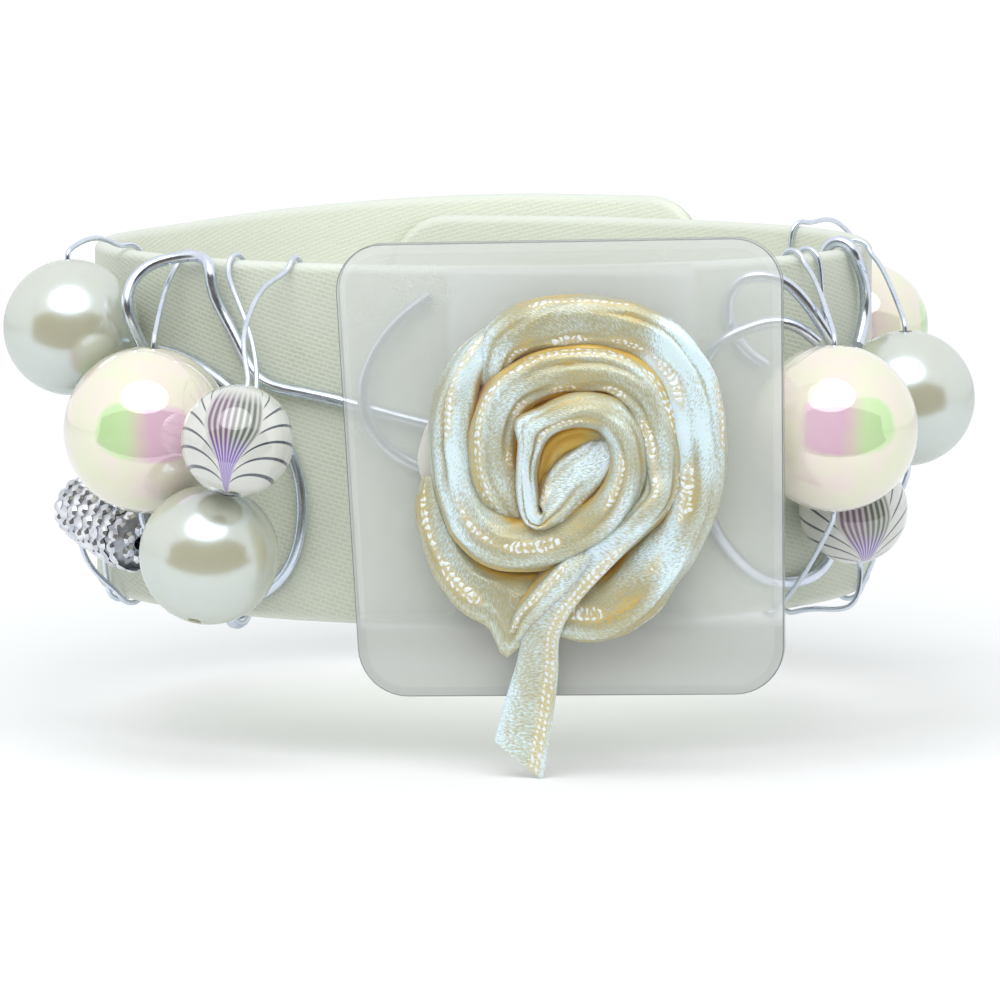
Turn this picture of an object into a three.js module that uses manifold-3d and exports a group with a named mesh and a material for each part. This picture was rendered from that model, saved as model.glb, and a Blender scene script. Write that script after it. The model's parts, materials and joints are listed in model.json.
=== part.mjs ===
// Wrist corsage: a satin-covered spring band that curls round the wrist, with a clear plate
// glued to its front, a wound ribbon rose on the plate, and beads on wires at both sides.
// Millimetres, +Z up. The origin is the centre of the wrist loop, and the plate faces -Y.
import * as THREE from "three";
import { mergeVertices } from "three/addons/utils/BufferGeometryUtils.js";
import Module from "manifold-3d";

// Clearance between pieces that touch
const FIT = 0.3;

// Band: an oval loop of steel strip inside a flat satin sleeve
const LOOP_WIDTH = 67.6;
const LOOP_DEPTH = 59;
const BAND_HEIGHT = 30;
const STRIP_THICKNESS = 0.3;
const STRIP_HEIGHT = 25;
const SLEEVE_WALL = 0.35;
const HEM = 0.8;
const LEFT_FLEX_ANGLES = [-126, -158];
const LEFT_END_ANGLE = -215.5;
const RIGHT_FLEX_ANGLES = [134, 164];
const RIGHT_END_ANGLE = 195;
const FLEX_GAP = 0.3;
const LAP_GAP = 0.3;
const LEFT_LAP_START = 122;
const RIGHT_LAP_START = 112;
const LAP_SPREAD = 30;
const TAIL_RISE = 1.9;
const TAIL_RISE_SPREAD = 78;
const TIP_RADIUS = 5;
const TIP_SEAM = 7;
const TIP_TURNS = [35, 60, 80, 90];
const BAND_STEP = 6;

// Clear plate, its adhesive bed and the glue under the rose
const PLATE_TOP_WIDTH = 37;
const PLATE_BOTTOM_WIDTH = 35.2;
const PLATE_HEIGHT = 37.6;
const PLATE_THICKNESS = 1.2;
const PLATE_CORNER = 4;
const PLATE_EDGE = 0.3;
const PLATE_X = 7.2;
const PLATE_Z = -1.2;
const PLATE_YAW = 9;
const PLATE_LEAN = 2;
const PLATE_ROLL = 1.7;
const PLATE_LIFT = 3;
const PAD_WIDTH = 20.4;
const GLUE_RADIUS = 5.5;
const GLUE_LENGTH = 7.6;
const GLUE_THICKNESS = 0.6;
const GLUE_EDGE = 0.2;

// Ribbon rose: an inner spiral that runs out into a hanging tail, and one outer wrap
const ROSE_X = 0.7;
const ROSE_Y = 0.8;
const ROSE_WIDTH_SHARE = 0.92;
const ROSE_HEIGHT_SHARE = 1.1;
const HEART_X = -0.2;
const HEART_Y = 0.9;
const HEART_START_RADIUS = 1.3;
const HEART_PITCH = 3.2;
const HEART_START_ANGLE = 20;
const HEART_END_ANGLE = 732;
const HEART_CROWN = 0.7;
const HEART_WIDTH = 4.8;
const HEART_THICKNESS = 1.5;
const HEART_SLOPE = 62;
const TAIL_WIDTH = 5;
const TAIL_THICKNESS = 0.6;
const TAIL_CUT = 0.55;
const TAIL_BENDS = [
  [4.8, -4, 1.4], [2.6, -7.2, 2.3], [0.7, -10.2, 2.2], [-0.7, -12.6, 1.4],
  [-2.1, -16, -0.1], [-3.3, -20.1, -0.8], [-4.6, -23.6, -1.2],
];
const WRAP_RADIUS = 11.4;
const WRAP_FLARE = 2.6;
const WRAP_FLARE_ANGLE = 18;
const WRAP_START_ANGLE = 108;
const WRAP_END_ANGLE = 438;
const WRAP_WIDTH = 5.6;
const WRAP_THICKNESS = 2;
const WRAP_SLOPE = 46;
const TUCK_ANGLE = 60;
const TUCK_THICKNESS = 0.9;
const TUCK_SLOPE = 8;
const ROSE_STEP = 12;
const RIBBON_SIDES = 10;

// Beads and wires
const PEARL_DIAMETER = 11.5;
const GLOBE_DIAMETER = 13.9;
const SMALL_GLOBE_DIAMETER = 11.4;
const STRIPED_DIAMETER = 9.2;
const CRYSTAL_DIAMETER = 6;
const CRYSTAL_LENGTH = 10;
const CRYSTAL_END = 1.4;
const BEAD_SEAT = 0.5;
const BEAD_GAP = 0.45;
const BORE_DIAMETER = 1.2;
const BEAD_RINGS = 9;
const BEAD_SEGMENTS = 18;
const BEAD_WIRE_DIAMETER = 0.45;
const SCROLL_WIRE_DIAMETER = 1;
const HOOK_LEG = 4;
const WIRE_STUB = 1.4;
const WIRE_TURN = 24;
const WIRE_SAG = 0.05;
const WIRE_SIDES = 6;

const SLEEVE_THICKNESS = STRIP_THICKNESS + 2 * (FIT + SLEEVE_WALL);
const MID_THICKNESS = SLEEVE_THICKNESS / 2;
const EDGE = BAND_HEIGHT / 2;
const ROSE_BASE = PLATE_THICKNESS + GLUE_THICKNESS + 2 * FIT;
const radians = THREE.MathUtils.degToRad;
const smooth = (value) => THREE.MathUtils.smoothstep(value, 0, 1);

const wasm = await Module();
wasm.setup();

const corsage = new THREE.Group();

// Materials

const finish = (color, roughness, metalness, extra = {}) =>
  new THREE.MeshStandardMaterial({ color, roughness, metalness, ...extra });
const satin = finish(0xe4e6d6, 0.6, 0);
const springSteel = finish(0xb9bcc0, 0.35, 1);
const clearPlastic = finish(0xd9dcd8, 0.12, 0, { transparent: true, opacity: 0.45 });
const clearGel = finish(0xe3e6df, 0.4, 0, { transparent: true, opacity: 0.7 });
const ribbonSatin = finish(0xf3ead0, 0.4, 0);
const pearlCoat = finish(0xf4efd8, 0.18, 0);
const rainbowCoat = finish(0xf5f0e0, 0.1, 0);
const stripedGlaze = finish(0xdcd8d4, 0.12, 0);
const silverCrystal = finish(0xc4c7cf, 0.2, 0.8);
const aluminiumWire = finish(0xc9ced6, 0.22, 1);

// Solids

// Closes a loft of equal rings, either end to end or with a flat cap at each end.
function skin(rings, joined = false) {
  const count = rings[0].length;
  const positions = rings.flat().flatMap((point) => point.toArray());
  const index = [];
  const spans = joined ? rings.length : rings.length - 1;
  for (let i = 0; i < spans; i += 1) {
    const here = i * count;
    const next = ((i + 1) % rings.length) * count;
    for (let j = 0; j < count; j += 1) {
      const k = (j + 1) % count;
      index.push(here + j, here + k, next + k, here + j, next + k, next + j);
    }
  }
  const last = (rings.length - 1) * count;
  for (let j = 1; j < count - 1 && !joined; j += 1) {
    index.push(0, j + 1, j, last, last + j, last + j + 1);
  }
  const geometry = new THREE.BufferGeometry();
  geometry.setAttribute("position", new THREE.Float32BufferAttribute(positions, 3));
  geometry.setIndex(index);
  return faceOut(geometry);
}

// Turns every face of a closed mesh outwards.
function faceOut(geometry) {
  const at = geometry.getAttribute("position");
  const index = geometry.getIndex().array;
  const [a, b, c] = [new THREE.Vector3(), new THREE.Vector3(), new THREE.Vector3()];
  let volume = 0;
  for (let i = 0; i < index.length; i += 3) {
    a.fromBufferAttribute(at, index[i]);
    b.fromBufferAttribute(at, index[i + 1]);
    c.fromBufferAttribute(at, index[i + 2]);
    volume += a.dot(b.cross(c));
  }
  if (volume < 0) {
    geometry.setIndex(Array.from(index).reverse());
  }
  return geometry;
}

function welded(geometry) {
  geometry.deleteAttribute("normal");
  geometry.deleteAttribute("uv");
  return mergeVertices(geometry, 1e-4);
}

function toManifold(geometry) {
  const merged = welded(geometry);
  const vertProperties = Float32Array.from(merged.getAttribute("position").array);
  const triVerts = Uint32Array.from(merged.getIndex().array);
  return new wasm.Manifold(new wasm.Mesh({ numProp: 3, vertProperties, triVerts }));
}

function fromManifold(body) {
  const mesh = body.getMesh();
  const geometry = new THREE.BufferGeometry();
  geometry.setAttribute("position", new THREE.Float32BufferAttribute(mesh.vertProperties, 3));
  geometry.setIndex(Array.from(mesh.triVerts));
  return geometry;
}

function add(name, geometry, material, parent = corsage) {
  const mesh = new THREE.Mesh(geometry, material);
  mesh.name = name;
  parent.add(mesh);
  return mesh;
}

// Prints the least gap that a wound piece keeps between stretches of itself.
function printSelfGap(name, rings, apart) {
  const centres = rings.map((ring) =>
    ring.reduce((sum, point) => sum.add(point), new THREE.Vector3()).divideScalar(ring.length));
  let least = Infinity;
  for (let i = 0; i < rings.length; i += 1) {
    let along = 0;
    for (let j = i + 1; j < rings.length; j += 1) {
      along += centres[j].distanceTo(centres[j - 1]);
      if (along < apart) continue;
      for (const p of rings[i]) {
        for (const q of rings[j]) {
          least = Math.min(least, p.distanceTo(q));
        }
      }
    }
  }
  console.log(`${name}: least gap to itself ${least.toFixed(2)} mm`);
}

// Band geometry: the angle runs from the front, positive to the right as the plate is seen.

// How far the overlapping tails lie outside (left) or inside (right) the loop.
function lapShift(angle) {
  const shift = (SLEEVE_THICKNESS + LAP_GAP) / 2;
  if (angle < 0) {
    return shift * smooth((-angle - LEFT_LAP_START) / LAP_SPREAD);
  }
  return -shift * smooth((angle - RIGHT_LAP_START) / LAP_SPREAD);
}

// The outer tail climbs a little, so its edge shows above the inner one.
function lapRise(angle) {
  return TAIL_RISE * smooth((-angle - RIGHT_LAP_START) / TAIL_RISE_SPREAD);
}

function bandNormal(angle) {
  const t = radians(angle);
  return new THREE.Vector3(Math.sin(t) * LOOP_DEPTH, -Math.cos(t) * LOOP_WIDTH, 0).normalize();
}

function bandPoint(angle, height, standoff) {
  const t = radians(angle);
  const point = new THREE.Vector3((LOOP_WIDTH / 2) * Math.sin(t), (-LOOP_DEPTH / 2) * Math.cos(t), 0);
  point.addScaledVector(bandNormal(angle), standoff + lapShift(angle));
  point.z = height + lapRise(angle);
  return point;
}

// The angle that spans a length along the loop at a given place.
function angleFor(length, angle) {
  const perDegree = bandPoint(angle + 0.5, 0, 0).distanceTo(bandPoint(angle - 0.5, 0, 0));
  return length / perDegree;
}

// A flat ring round the band's section: hemmed edges, or square ones with no hem.
function bandRing(angle, outer, inner, halfHeight, hem) {
  const middle = (outer + inner) / 2;
  const corner = halfHeight - hem;
  const outline = [[outer, -corner], [outer, corner], [middle, halfHeight]];
  outline.push([inner, corner], [inner, -corner], [middle, -halfHeight]);
  return outline.map(([standoff, height]) => bandPoint(angle, height, standoff));
}

const sleeveRing = (angle, inset = 0) =>
  bandRing(angle, 0, -SLEEVE_THICKNESS, EDGE - inset, HEM);
const pocketRing = (angle) =>
  bandRing(angle, -SLEEVE_WALL, SLEEVE_WALL - SLEEVE_THICKNESS, STRIP_HEIGHT / 2 + 2 * FIT, FIT);

// Equal steps from one angle to another, both ends included.
function sweep(from, to, step = BAND_STEP) {
  const count = Math.max(2, Math.ceil(Math.abs(to - from) / step));
  return Array.from({ length: count + 1 }, (_, i) => from + ((to - from) * i) / count);
}

function stripRing(angle) {
  const outer = (STRIP_THICKNESS - SLEEVE_THICKNESS) / 2;
  const inner = outer - STRIP_THICKNESS;
  const half = STRIP_HEIGHT / 2;
  const outline = [[outer, -half], [outer, half], [inner, half], [inner, -half]];
  return outline.map(([standoff, height]) => bandPoint(angle, height, standoff));
}

// A stretch of sleeve that is open at both ends, with the steel strip through it.
function addBandStretch(name, from, to) {
  const angles = sweep(from, to);
  const outer = angles.map((angle) => sleeveRing(angle));
  const pocket = angles.map((angle) => pocketRing(angle)).reverse();
  add(`sleeve_${name}`, skin([...outer, ...pocket], true), satin);
  add(`spring_strip_${name}`, skin(angles.map(stripRing)), springSteel);
}

// A free end: the pocket is sewn shut short of the tip, and the tip's corners are round.
function addBandEnd(name, from, to) {
  const way = Math.sign(to - from);
  const tip = to - way * angleFor(TIP_RADIUS, to);
  const seam = to - way * angleFor(TIP_SEAM, to);
  const stripEnd = seam - way * angleFor(FIT, seam);
  const straight = sweep(from, tip).map((angle) => sleeveRing(angle));
  const round = TIP_TURNS.map((turn) => {
    const along = TIP_RADIUS * Math.sin(radians(turn));
    const inset = TIP_RADIUS * (1 - Math.cos(radians(turn)));
    return sleeveRing(tip + way * angleFor(along, tip), inset);
  });
  const pocket = sweep(from, seam).map((angle) => pocketRing(angle)).reverse();
  add(`sleeve_${name}`, skin([...pocket, ...straight, ...round]), satin);
  add(`spring_strip_${name}`, skin(sweep(from, stripEnd).map(stripRing)), springSteel);
}

const flexBefore = (angle) => angle - Math.sign(angle) * angleFor(FLEX_GAP / 2, angle);
const flexAfter = (angle) => angle + Math.sign(angle) * angleFor(FLEX_GAP / 2, angle);
const [leftFlex, leftOuterFlex] = LEFT_FLEX_ANGLES;
const [rightFlex, rightOuterFlex] = RIGHT_FLEX_ANGLES;
addBandStretch("front", flexBefore(leftFlex), flexBefore(rightFlex));
addBandStretch("left_arm", flexAfter(leftFlex), flexBefore(leftOuterFlex));
addBandEnd("left_end", flexAfter(leftOuterFlex), LEFT_END_ANGLE);
addBandStretch("right_arm", flexAfter(rightFlex), flexBefore(rightOuterFlex));
addBandEnd("right_end", flexAfter(rightOuterFlex), RIGHT_END_ANGLE);

// Beads: each sits on the band, pushed out along its normal until it clears those before it.

const beads = {};

function placeBead(name, diameter, angle, height, lean, pitch) {
  const radius = diameter / 2;
  const normal = bandNormal(angle);
  const foot = bandPoint(angle, height, 0);
  let standoff = radius + BEAD_SEAT;
  for (const other of Object.values(beads)) {
    const reach = radius + other.radius + BEAD_GAP;
    const back = foot.clone().sub(other.centre);
    const half = back.dot(normal);
    const gap = half * half - back.lengthSq() + reach * reach;
    if (gap > 0) {
      standoff = Math.max(standoff, Math.sqrt(gap) - half);
    }
  }
  const axis = new THREE.Vector3(0, 0, 1);
  axis.applyAxisAngle(new THREE.Vector3(-normal.y, normal.x, 0), radians(pitch));
  axis.applyAxisAngle(normal, radians(lean));
  const centre = foot.addScaledVector(normal, standoff);
  beads[name] = { radius, centre, axis, angle, height, standoff };
  return beads[name];
}

// A ball turned from its bore outwards.
function ballProfile(diameter) {
  const radius = diameter / 2;
  const mouth = Math.asin(BORE_DIAMETER / diameter);
  const profile = [];
  for (let i = 0; i <= BEAD_RINGS; i += 1) {
    const turn = mouth + ((Math.PI - 2 * mouth) * i) / BEAD_RINGS;
    profile.push(new THREE.Vector2(radius * Math.sin(turn), -radius * Math.cos(turn)));
  }
  profile.push(profile[0].clone());
  return profile;
}

// A barrel with rounded shoulders and flat bored ends.
function barrelProfile(diameter, length) {
  const bore = BORE_DIAMETER / 2;
  const half = length / 2;
  const shoulder = diameter / 2 - CRYSTAL_END;
  const outline = [[bore, -half], [shoulder, -half], [diameter / 2 - CRYSTAL_END / 4, CRYSTAL_END - half]];
  outline.push([diameter / 2, 0], [diameter / 2 - CRYSTAL_END / 4, half - CRYSTAL_END]);
  outline.push([shoulder, half], [bore, half], [bore, -half]);
  return outline.map(([x, y]) => new THREE.Vector2(x, y));
}

function addBead(name, bead, profile, material) {
  const geometry = faceOut(welded(new THREE.LatheGeometry(profile, BEAD_SEGMENTS)));
  const mesh = add(name, geometry, material);
  mesh.position.copy(bead.centre);
  mesh.quaternion.setFromUnitVectors(new THREE.Vector3(0, 1, 0), bead.axis);
}

const pearlLeft = placeBead("pearl_left", PEARL_DIAMETER, -60.8, 8.9, 6, 0);
const globeLeft = placeBead("rainbow_bead_left", GLOBE_DIAMETER, -43.3, 1.2, -6, 0);
const crystal = placeBead("crystal_bead", CRYSTAL_DIAMETER, -58.4, -7.8, 76, 0);
const pearlLower = placeBead("pearl_lower", PEARL_DIAMETER, -31.3, -8.3, 0, -25);
const stripedLeft = placeBead("striped_bead_left", STRIPED_DIAMETER, -26.2, 1.5, 0, -25);
const pearlRight = placeBead("pearl_right", PEARL_DIAMETER, 64.2, 2.7, 4, 0);
const globeBack = placeBead("rainbow_bead_back", SMALL_GLOBE_DIAMETER, 119.9, 5.7, 0, 0);
const stripedRight = placeBead("striped_bead_right", STRIPED_DIAMETER, 53.6, -6.2, 12, 0);
const globeRight = placeBead("rainbow_bead_right", GLOBE_DIAMETER, 42.3, 1.6, 0, 0);

addBead("pearl_left", pearlLeft, ballProfile(PEARL_DIAMETER), pearlCoat);
addBead("pearl_lower", pearlLower, ballProfile(PEARL_DIAMETER), pearlCoat);
addBead("pearl_right", pearlRight, ballProfile(PEARL_DIAMETER), pearlCoat);
addBead("rainbow_bead_left", globeLeft, ballProfile(GLOBE_DIAMETER), rainbowCoat);
addBead("rainbow_bead_right", globeRight, ballProfile(GLOBE_DIAMETER), rainbowCoat);
addBead("rainbow_bead_back", globeBack, ballProfile(SMALL_GLOBE_DIAMETER), rainbowCoat);
addBead("striped_bead_left", stripedLeft, ballProfile(STRIPED_DIAMETER), stripedGlaze);
addBead("striped_bead_right", stripedRight, ballProfile(STRIPED_DIAMETER), stripedGlaze);
addBead("crystal_bead", crystal, barrelProfile(CRYSTAL_DIAMETER, CRYSTAL_LENGTH), silverCrystal);

// Clear plate, held off the band by its bed and by the right-hand bead behind its edge

const plateTurn = new THREE.Euler(radians(90 + PLATE_LEAN), 0, radians(-PLATE_YAW), "ZXY");
const plateQuaternion = new THREE.Quaternion().setFromEuler(plateTurn);
plateQuaternion.multiply(
  new THREE.Quaternion().setFromAxisAngle(new THREE.Vector3(0, 0, 1), radians(PLATE_ROLL)));
const plateNormal = new THREE.Vector3(0, 0, 1).applyQuaternion(plateQuaternion);
const plateLeft = THREE.MathUtils.radToDeg(Math.asin((PLATE_X * 2 - PLATE_TOP_WIDTH) / LOOP_WIDTH));
const plateReach = Math.max(
  bandPoint(plateLeft, PLATE_Z, PLATE_LIFT).dot(plateNormal),
  globeRight.centre.dot(plateNormal) + globeRight.radius + FIT);
const plateGroup = new THREE.Group();
const plateY = (plateReach - plateNormal.x * PLATE_X - plateNormal.z * PLATE_Z) / plateNormal.y;
plateGroup.position.set(PLATE_X, plateY, PLATE_Z);
plateGroup.quaternion.copy(plateQuaternion);
plateGroup.updateMatrixWorld(true);
corsage.add(plateGroup);

function roundedPanel(topWidth, bottomWidth, height, radius) {
  const top = topWidth / 2;
  const bottom = bottomWidth / 2;
  const half = height / 2;
  const shape = new THREE.Shape();
  shape.moveTo(-bottom + radius, -half);
  shape.lineTo(bottom - radius, -half);
  shape.quadraticCurveTo(bottom, -half, bottom, radius - half);
  shape.lineTo(top, half - radius);
  shape.quadraticCurveTo(top, half, top - radius, half);
  shape.lineTo(radius - top, half);
  shape.quadraticCurveTo(-top, half, -top, half - radius);
  shape.lineTo(-bottom, radius - half);
  shape.quadraticCurveTo(-bottom, -half, radius - bottom, -half);
  return shape;
}

// A flat sheet cut from an outline, with its edge rounded over inside that outline.
function roundedSheet(shape, thickness, edge, curveSegments) {
  const geometry = new THREE.ExtrudeGeometry(shape, {
    depth: thickness - 2 * edge,
    bevelThickness: edge,
    bevelSize: edge,
    bevelOffset: -edge,
    bevelSegments: 2,
    curveSegments,
  });
  geometry.translate(0, 0, edge);
  return faceOut(welded(geometry));
}

const plateOutline = roundedPanel(PLATE_TOP_WIDTH, PLATE_BOTTOM_WIDTH, PLATE_HEIGHT, PLATE_CORNER);
add("clear_plate", roundedSheet(plateOutline, PLATE_THICKNESS, PLATE_EDGE, 5), clearPlastic, plateGroup);

// The bed fills the space between plate and band, over the band's whole height.
function adhesiveBed() {
  const block = new THREE.BoxGeometry(PAD_WIDTH, LOOP_DEPTH, BAND_HEIGHT);
  block.translate(PLATE_X, -LOOP_DEPTH / 2, 0);
  const beyondPlate = new THREE.BoxGeometry(2 * LOOP_WIDTH, 2 * LOOP_WIDTH, LOOP_DEPTH);
  beyondPlate.translate(0, 0, LOOP_DEPTH / 2 - FIT);
  beyondPlate.applyMatrix4(plateGroup.matrixWorld);
  const oval = new THREE.Shape();
  oval.absellipse(0, 0, LOOP_WIDTH / 2 + FIT, LOOP_DEPTH / 2 + FIT, 0, 2 * Math.PI);
  const insideLoop = new THREE.ExtrudeGeometry(oval, {
    depth: 2 * BAND_HEIGHT,
    bevelEnabled: false,
    curveSegments: 60,
  });
  insideLoop.translate(0, 0, -BAND_HEIGHT);
  const bed = toManifold(block).subtract(toManifold(beyondPlate));
  return fromManifold(bed.subtract(toManifold(insideLoop)));
}
add("adhesive_bed", adhesiveBed(), clearGel);

// Hot glue between plate and rose, squeezed out a little at the rose's left
function glueOutline() {
  const shape = new THREE.Shape();
  shape.absarc(ROSE_X, ROSE_Y, GLUE_RADIUS, -Math.PI / 2, Math.PI / 2, false);
  shape.absarc(ROSE_X - GLUE_LENGTH, ROSE_Y, GLUE_RADIUS, Math.PI / 2, 1.5 * Math.PI, false);
  return shape;
}
const glueSheet = roundedSheet(glueOutline(), GLUE_THICKNESS, GLUE_EDGE, 10);
const glue = add("glue_dab", glueSheet, clearGel, plateGroup);
glue.position.z = PLATE_THICKNESS + FIT;

// Ribbon rose, wound clockwise as it is seen from the front

// The flat oval section of folded ribbon, tipped up from the plate by its slope.
function ribbonRings(stations) {
  const front = new THREE.Vector3(0, 0, 1);
  return stations.map(({ at, slope, width, thickness, cut = 0 }, i) => {
    const before = stations[Math.max(0, i - 1)].at;
    const after = stations[Math.min(stations.length - 1, i + 1)].at;
    const along = after.clone().sub(before).normalize();
    const outward = front.clone().cross(along).normalize();
    const up = along.clone().cross(outward).normalize();
    const broad = outward.clone().multiplyScalar(-Math.cos(radians(slope)));
    broad.addScaledVector(up, Math.sin(radians(slope)));
    const thin = along.clone().cross(broad).normalize();
    return Array.from({ length: RIBBON_SIDES }, (_, j) => {
      const turn = (2 * Math.PI * j) / RIBBON_SIDES;
      const across = (width / 2) * Math.cos(turn);
      const point = at.clone().addScaledVector(broad, across);
      point.addScaledVector(thin, (thickness / 2) * Math.sin(turn));
      return point.addScaledVector(along, -cut * across);
    });
  });
}

// Half the space that a tipped section takes up in front of the plate.
const halfDepth = (width, thickness, slope) =>
  Math.hypot((width / 2) * Math.sin(radians(slope)), (thickness / 2) * Math.cos(radians(slope)));

function rosePoint(centreX, centreY, radius, angle, depth) {
  const t = radians(angle);
  const x = centreX + ROSE_WIDTH_SHARE * radius * Math.cos(t);
  const y = centreY - ROSE_HEIGHT_SHARE * radius * Math.sin(t);
  return new THREE.Vector3(x, y, depth);
}

function roseHeart() {
  const section = { width: HEART_WIDTH, thickness: HEART_THICKNESS, slope: HEART_SLOPE };
  const low = ROSE_BASE + halfDepth(HEART_WIDTH, HEART_THICKNESS, HEART_SLOPE);
  const stations = sweep(HEART_START_ANGLE, HEART_END_ANGLE, ROSE_STEP).map((angle) => {
    const turns = (angle - HEART_START_ANGLE) / 360;
    const depth = low + (HEART_CROWN * (HEART_END_ANGLE - angle)) / 360;
    const radius = HEART_START_RADIUS + HEART_PITCH * turns;
    const at = rosePoint(ROSE_X + HEART_X, ROSE_Y + HEART_Y, radius, angle, depth);
    return { at, ...section };
  });
  const hang = new THREE.CatmullRomCurve3([
    stations[stations.length - 1].at,
    ...TAIL_BENDS.map(([x, y, rise]) => new THREE.Vector3(ROSE_X + x, ROSE_Y + y, low + rise)),
  ]);
  const count = 2 * TAIL_BENDS.length;
  for (let i = 1; i <= count; i += 1) {
    const share = smooth((3 * i) / count);
    stations.push({
      at: hang.getPoint(i / count),
      slope: HEART_SLOPE * (1 - share),
      width: THREE.MathUtils.lerp(HEART_WIDTH, TAIL_WIDTH, share),
      thickness: THREE.MathUtils.lerp(HEART_THICKNESS, TAIL_THICKNESS, share),
      cut: i === count ? TAIL_CUT : 0,
    });
  }
  return ribbonRings(stations);
}

// The wrap's two ends lie flat and thin, so that they pass under the tail.
function roseWrap() {
  const stations = sweep(WRAP_START_ANGLE, WRAP_END_ANGLE, ROSE_STEP).map((angle) => {
    const flare = WRAP_FLARE * Math.exp((WRAP_START_ANGLE - angle) / WRAP_FLARE_ANGLE);
    const fromEnd = Math.min(angle - WRAP_START_ANGLE, WRAP_END_ANGLE - angle);
    const full = smooth(fromEnd / TUCK_ANGLE);
    const slope = THREE.MathUtils.lerp(TUCK_SLOPE, WRAP_SLOPE, full);
    const thickness = THREE.MathUtils.lerp(TUCK_THICKNESS, WRAP_THICKNESS, full);
    const depth = ROSE_BASE + halfDepth(WRAP_WIDTH, thickness, slope);
    const at = rosePoint(ROSE_X, ROSE_Y, WRAP_RADIUS + flare, angle, depth);
    return { at, slope, width: WRAP_WIDTH, thickness };
  });
  return ribbonRings(stations);
}

const heartRings = roseHeart();
add("rose_heart_and_tail", skin(heartRings), ribbonSatin, plateGroup);
add("rose_outer_wrap", skin(roseWrap()), ribbonSatin, plateGroup);
printSelfGap("rose_heart_and_tail", heartRings, 3 * HEART_WIDTH);

// Wires, routed by points of angle, height and distance from the band's face

// Keeps the points of a curve where it has turned enough to need one.
function stationsOf(curve, spans) {
  const fine = curve.getPoints(spans * 24);
  const kept = [0];
  let turned = 0;
  let run = 0;
  for (let i = 1; i < fine.length - 1; i += 1) {
    const inward = fine[i].clone().sub(fine[i - 1]);
    const outward = fine[i + 1].clone().sub(fine[i]);
    turned += inward.angleTo(outward);
    run += inward.length();
    if (turned > radians(WIRE_TURN) || (turned * run) / 8 > WIRE_SAG) {
      kept.push(i);
      turned = 0;
      run = 0;
    }
  }
  kept.push(fine.length - 1);
  return kept.map((i) => ({ at: fine[i], along: curve.getTangent(i / (fine.length - 1)) }));
}

function wireRings(points, diameter) {
  const curve = new THREE.CatmullRomCurve3(points, false, "centripetal");
  const stations = stationsOf(curve, points.length - 1);
  let side = new THREE.Vector3(0.31, 0.17, 0.94).cross(stations[0].along).normalize();
  return stations.map(({ at, along }) => {
    side = side.clone().addScaledVector(along, -side.dot(along)).normalize();
    const other = along.clone().cross(side);
    return Array.from({ length: WIRE_SIDES }, (_, j) => {
      const turn = (2 * Math.PI * j) / WIRE_SIDES;
      const point = at.clone().addScaledVector(side, (diameter / 2) * Math.cos(turn));
      return point.addScaledVector(other, (diameter / 2) * Math.sin(turn));
    });
  });
}

// The bend of a wire over one edge of the band, from outside the loop to inside it.
function hook(angle, edgeSign, diameter, fromTurn = 0) {
  const reach = MID_THICKNESS + FIT + diameter / 2;
  const points = [];
  for (let turn = fromTurn; turn <= 180; turn += 45) {
    const height = EDGE - HEM + reach * Math.sin(radians(turn));
    const standoff = reach * Math.cos(radians(turn)) - MID_THICKNESS;
    points.push(bandPoint(angle, edgeSign * height, standoff));
  }
  points.push(bandPoint(angle, edgeSign * (EDGE - HEM - HOOK_LEG), -MID_THICKNESS - reach));
  return points;
}

const route = (...points) => points.map((point) => bandPoint(...point));

// The straight run of a wire through a bead's bore, with a little to spare at each end.
function boreRun(bead, halfLength, ends = [1, -1]) {
  const spare = [halfLength + WIRE_STUB, halfLength + FIT];
  const offsets = ends[0] ? [...spare, 0] : [0];
  offsets.push(...(ends[1] ? [-spare[1], -spare[0]] : [-spare[1], -halfLength - WIRE_STUB / 2]));
  return offsets.map((offset) => bead.centre.clone().addScaledVector(bead.axis, offset));
}

function addBeadWire(name, upper, run, lower) {
  add(name, skin(wireRings([...upper, ...run, ...lower], BEAD_WIRE_DIAMETER)), aluminiumWire);
}

const topHook = (angle, fromTurn) => hook(angle, 1, BEAD_WIRE_DIAMETER, fromTurn).reverse();
const bottomHook = (angle, fromTurn) => hook(angle, -1, BEAD_WIRE_DIAMETER, fromTurn);

addBeadWire("wire_pearl_left",
  [...topHook(-66, 45), ...route([-64.5, 16.6, 2.6])],
  boreRun(pearlLeft, pearlLeft.radius),
  [...route([-68, -3, 2]), ...bottomHook(-71)]);
addBeadWire("wire_rainbow_left",
  [...topHook(-48.6), ...route([-47.8, 13, 2.2])],
  boreRun(globeLeft, globeLeft.radius),
  [...route([-44.5, -11, 4]), ...bottomHook(-46)]);
addBeadWire("wire_crystal",
  [...bottomHook(-66).reverse(), ...route([-69, -12, 3.2])],
  boreRun(crystal, CRYSTAL_LENGTH / 2),
  [...route([-48, -13, 2.6]), ...bottomHook(-52)]);
addBeadWire("wire_pearl_lower",
  [...topHook(-38.6), ...route([-35.5, 12.5, 2.1], [-31, 8.5, 3], [-28.5, 3, 5.5])],
  boreRun(pearlLower, pearlLower.radius, [1, 0]),
  []);
addBeadWire("wire_striped_left",
  [...topHook(-28.2), ...route([-29.6, 13.4, 3.4], [-29.2, 11.6, 6], [-28.3, 9.4, 9])],
  boreRun(stripedLeft, stripedLeft.radius, [1, 0]),
  []);
addBeadWire("wire_pearl_right",
  [...topHook(76), ...route([73, 13.4, 2])],
  boreRun(pearlRight, pearlRight.radius),
  [...route([70, -9, 3]), ...bottomHook(72)]);
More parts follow.
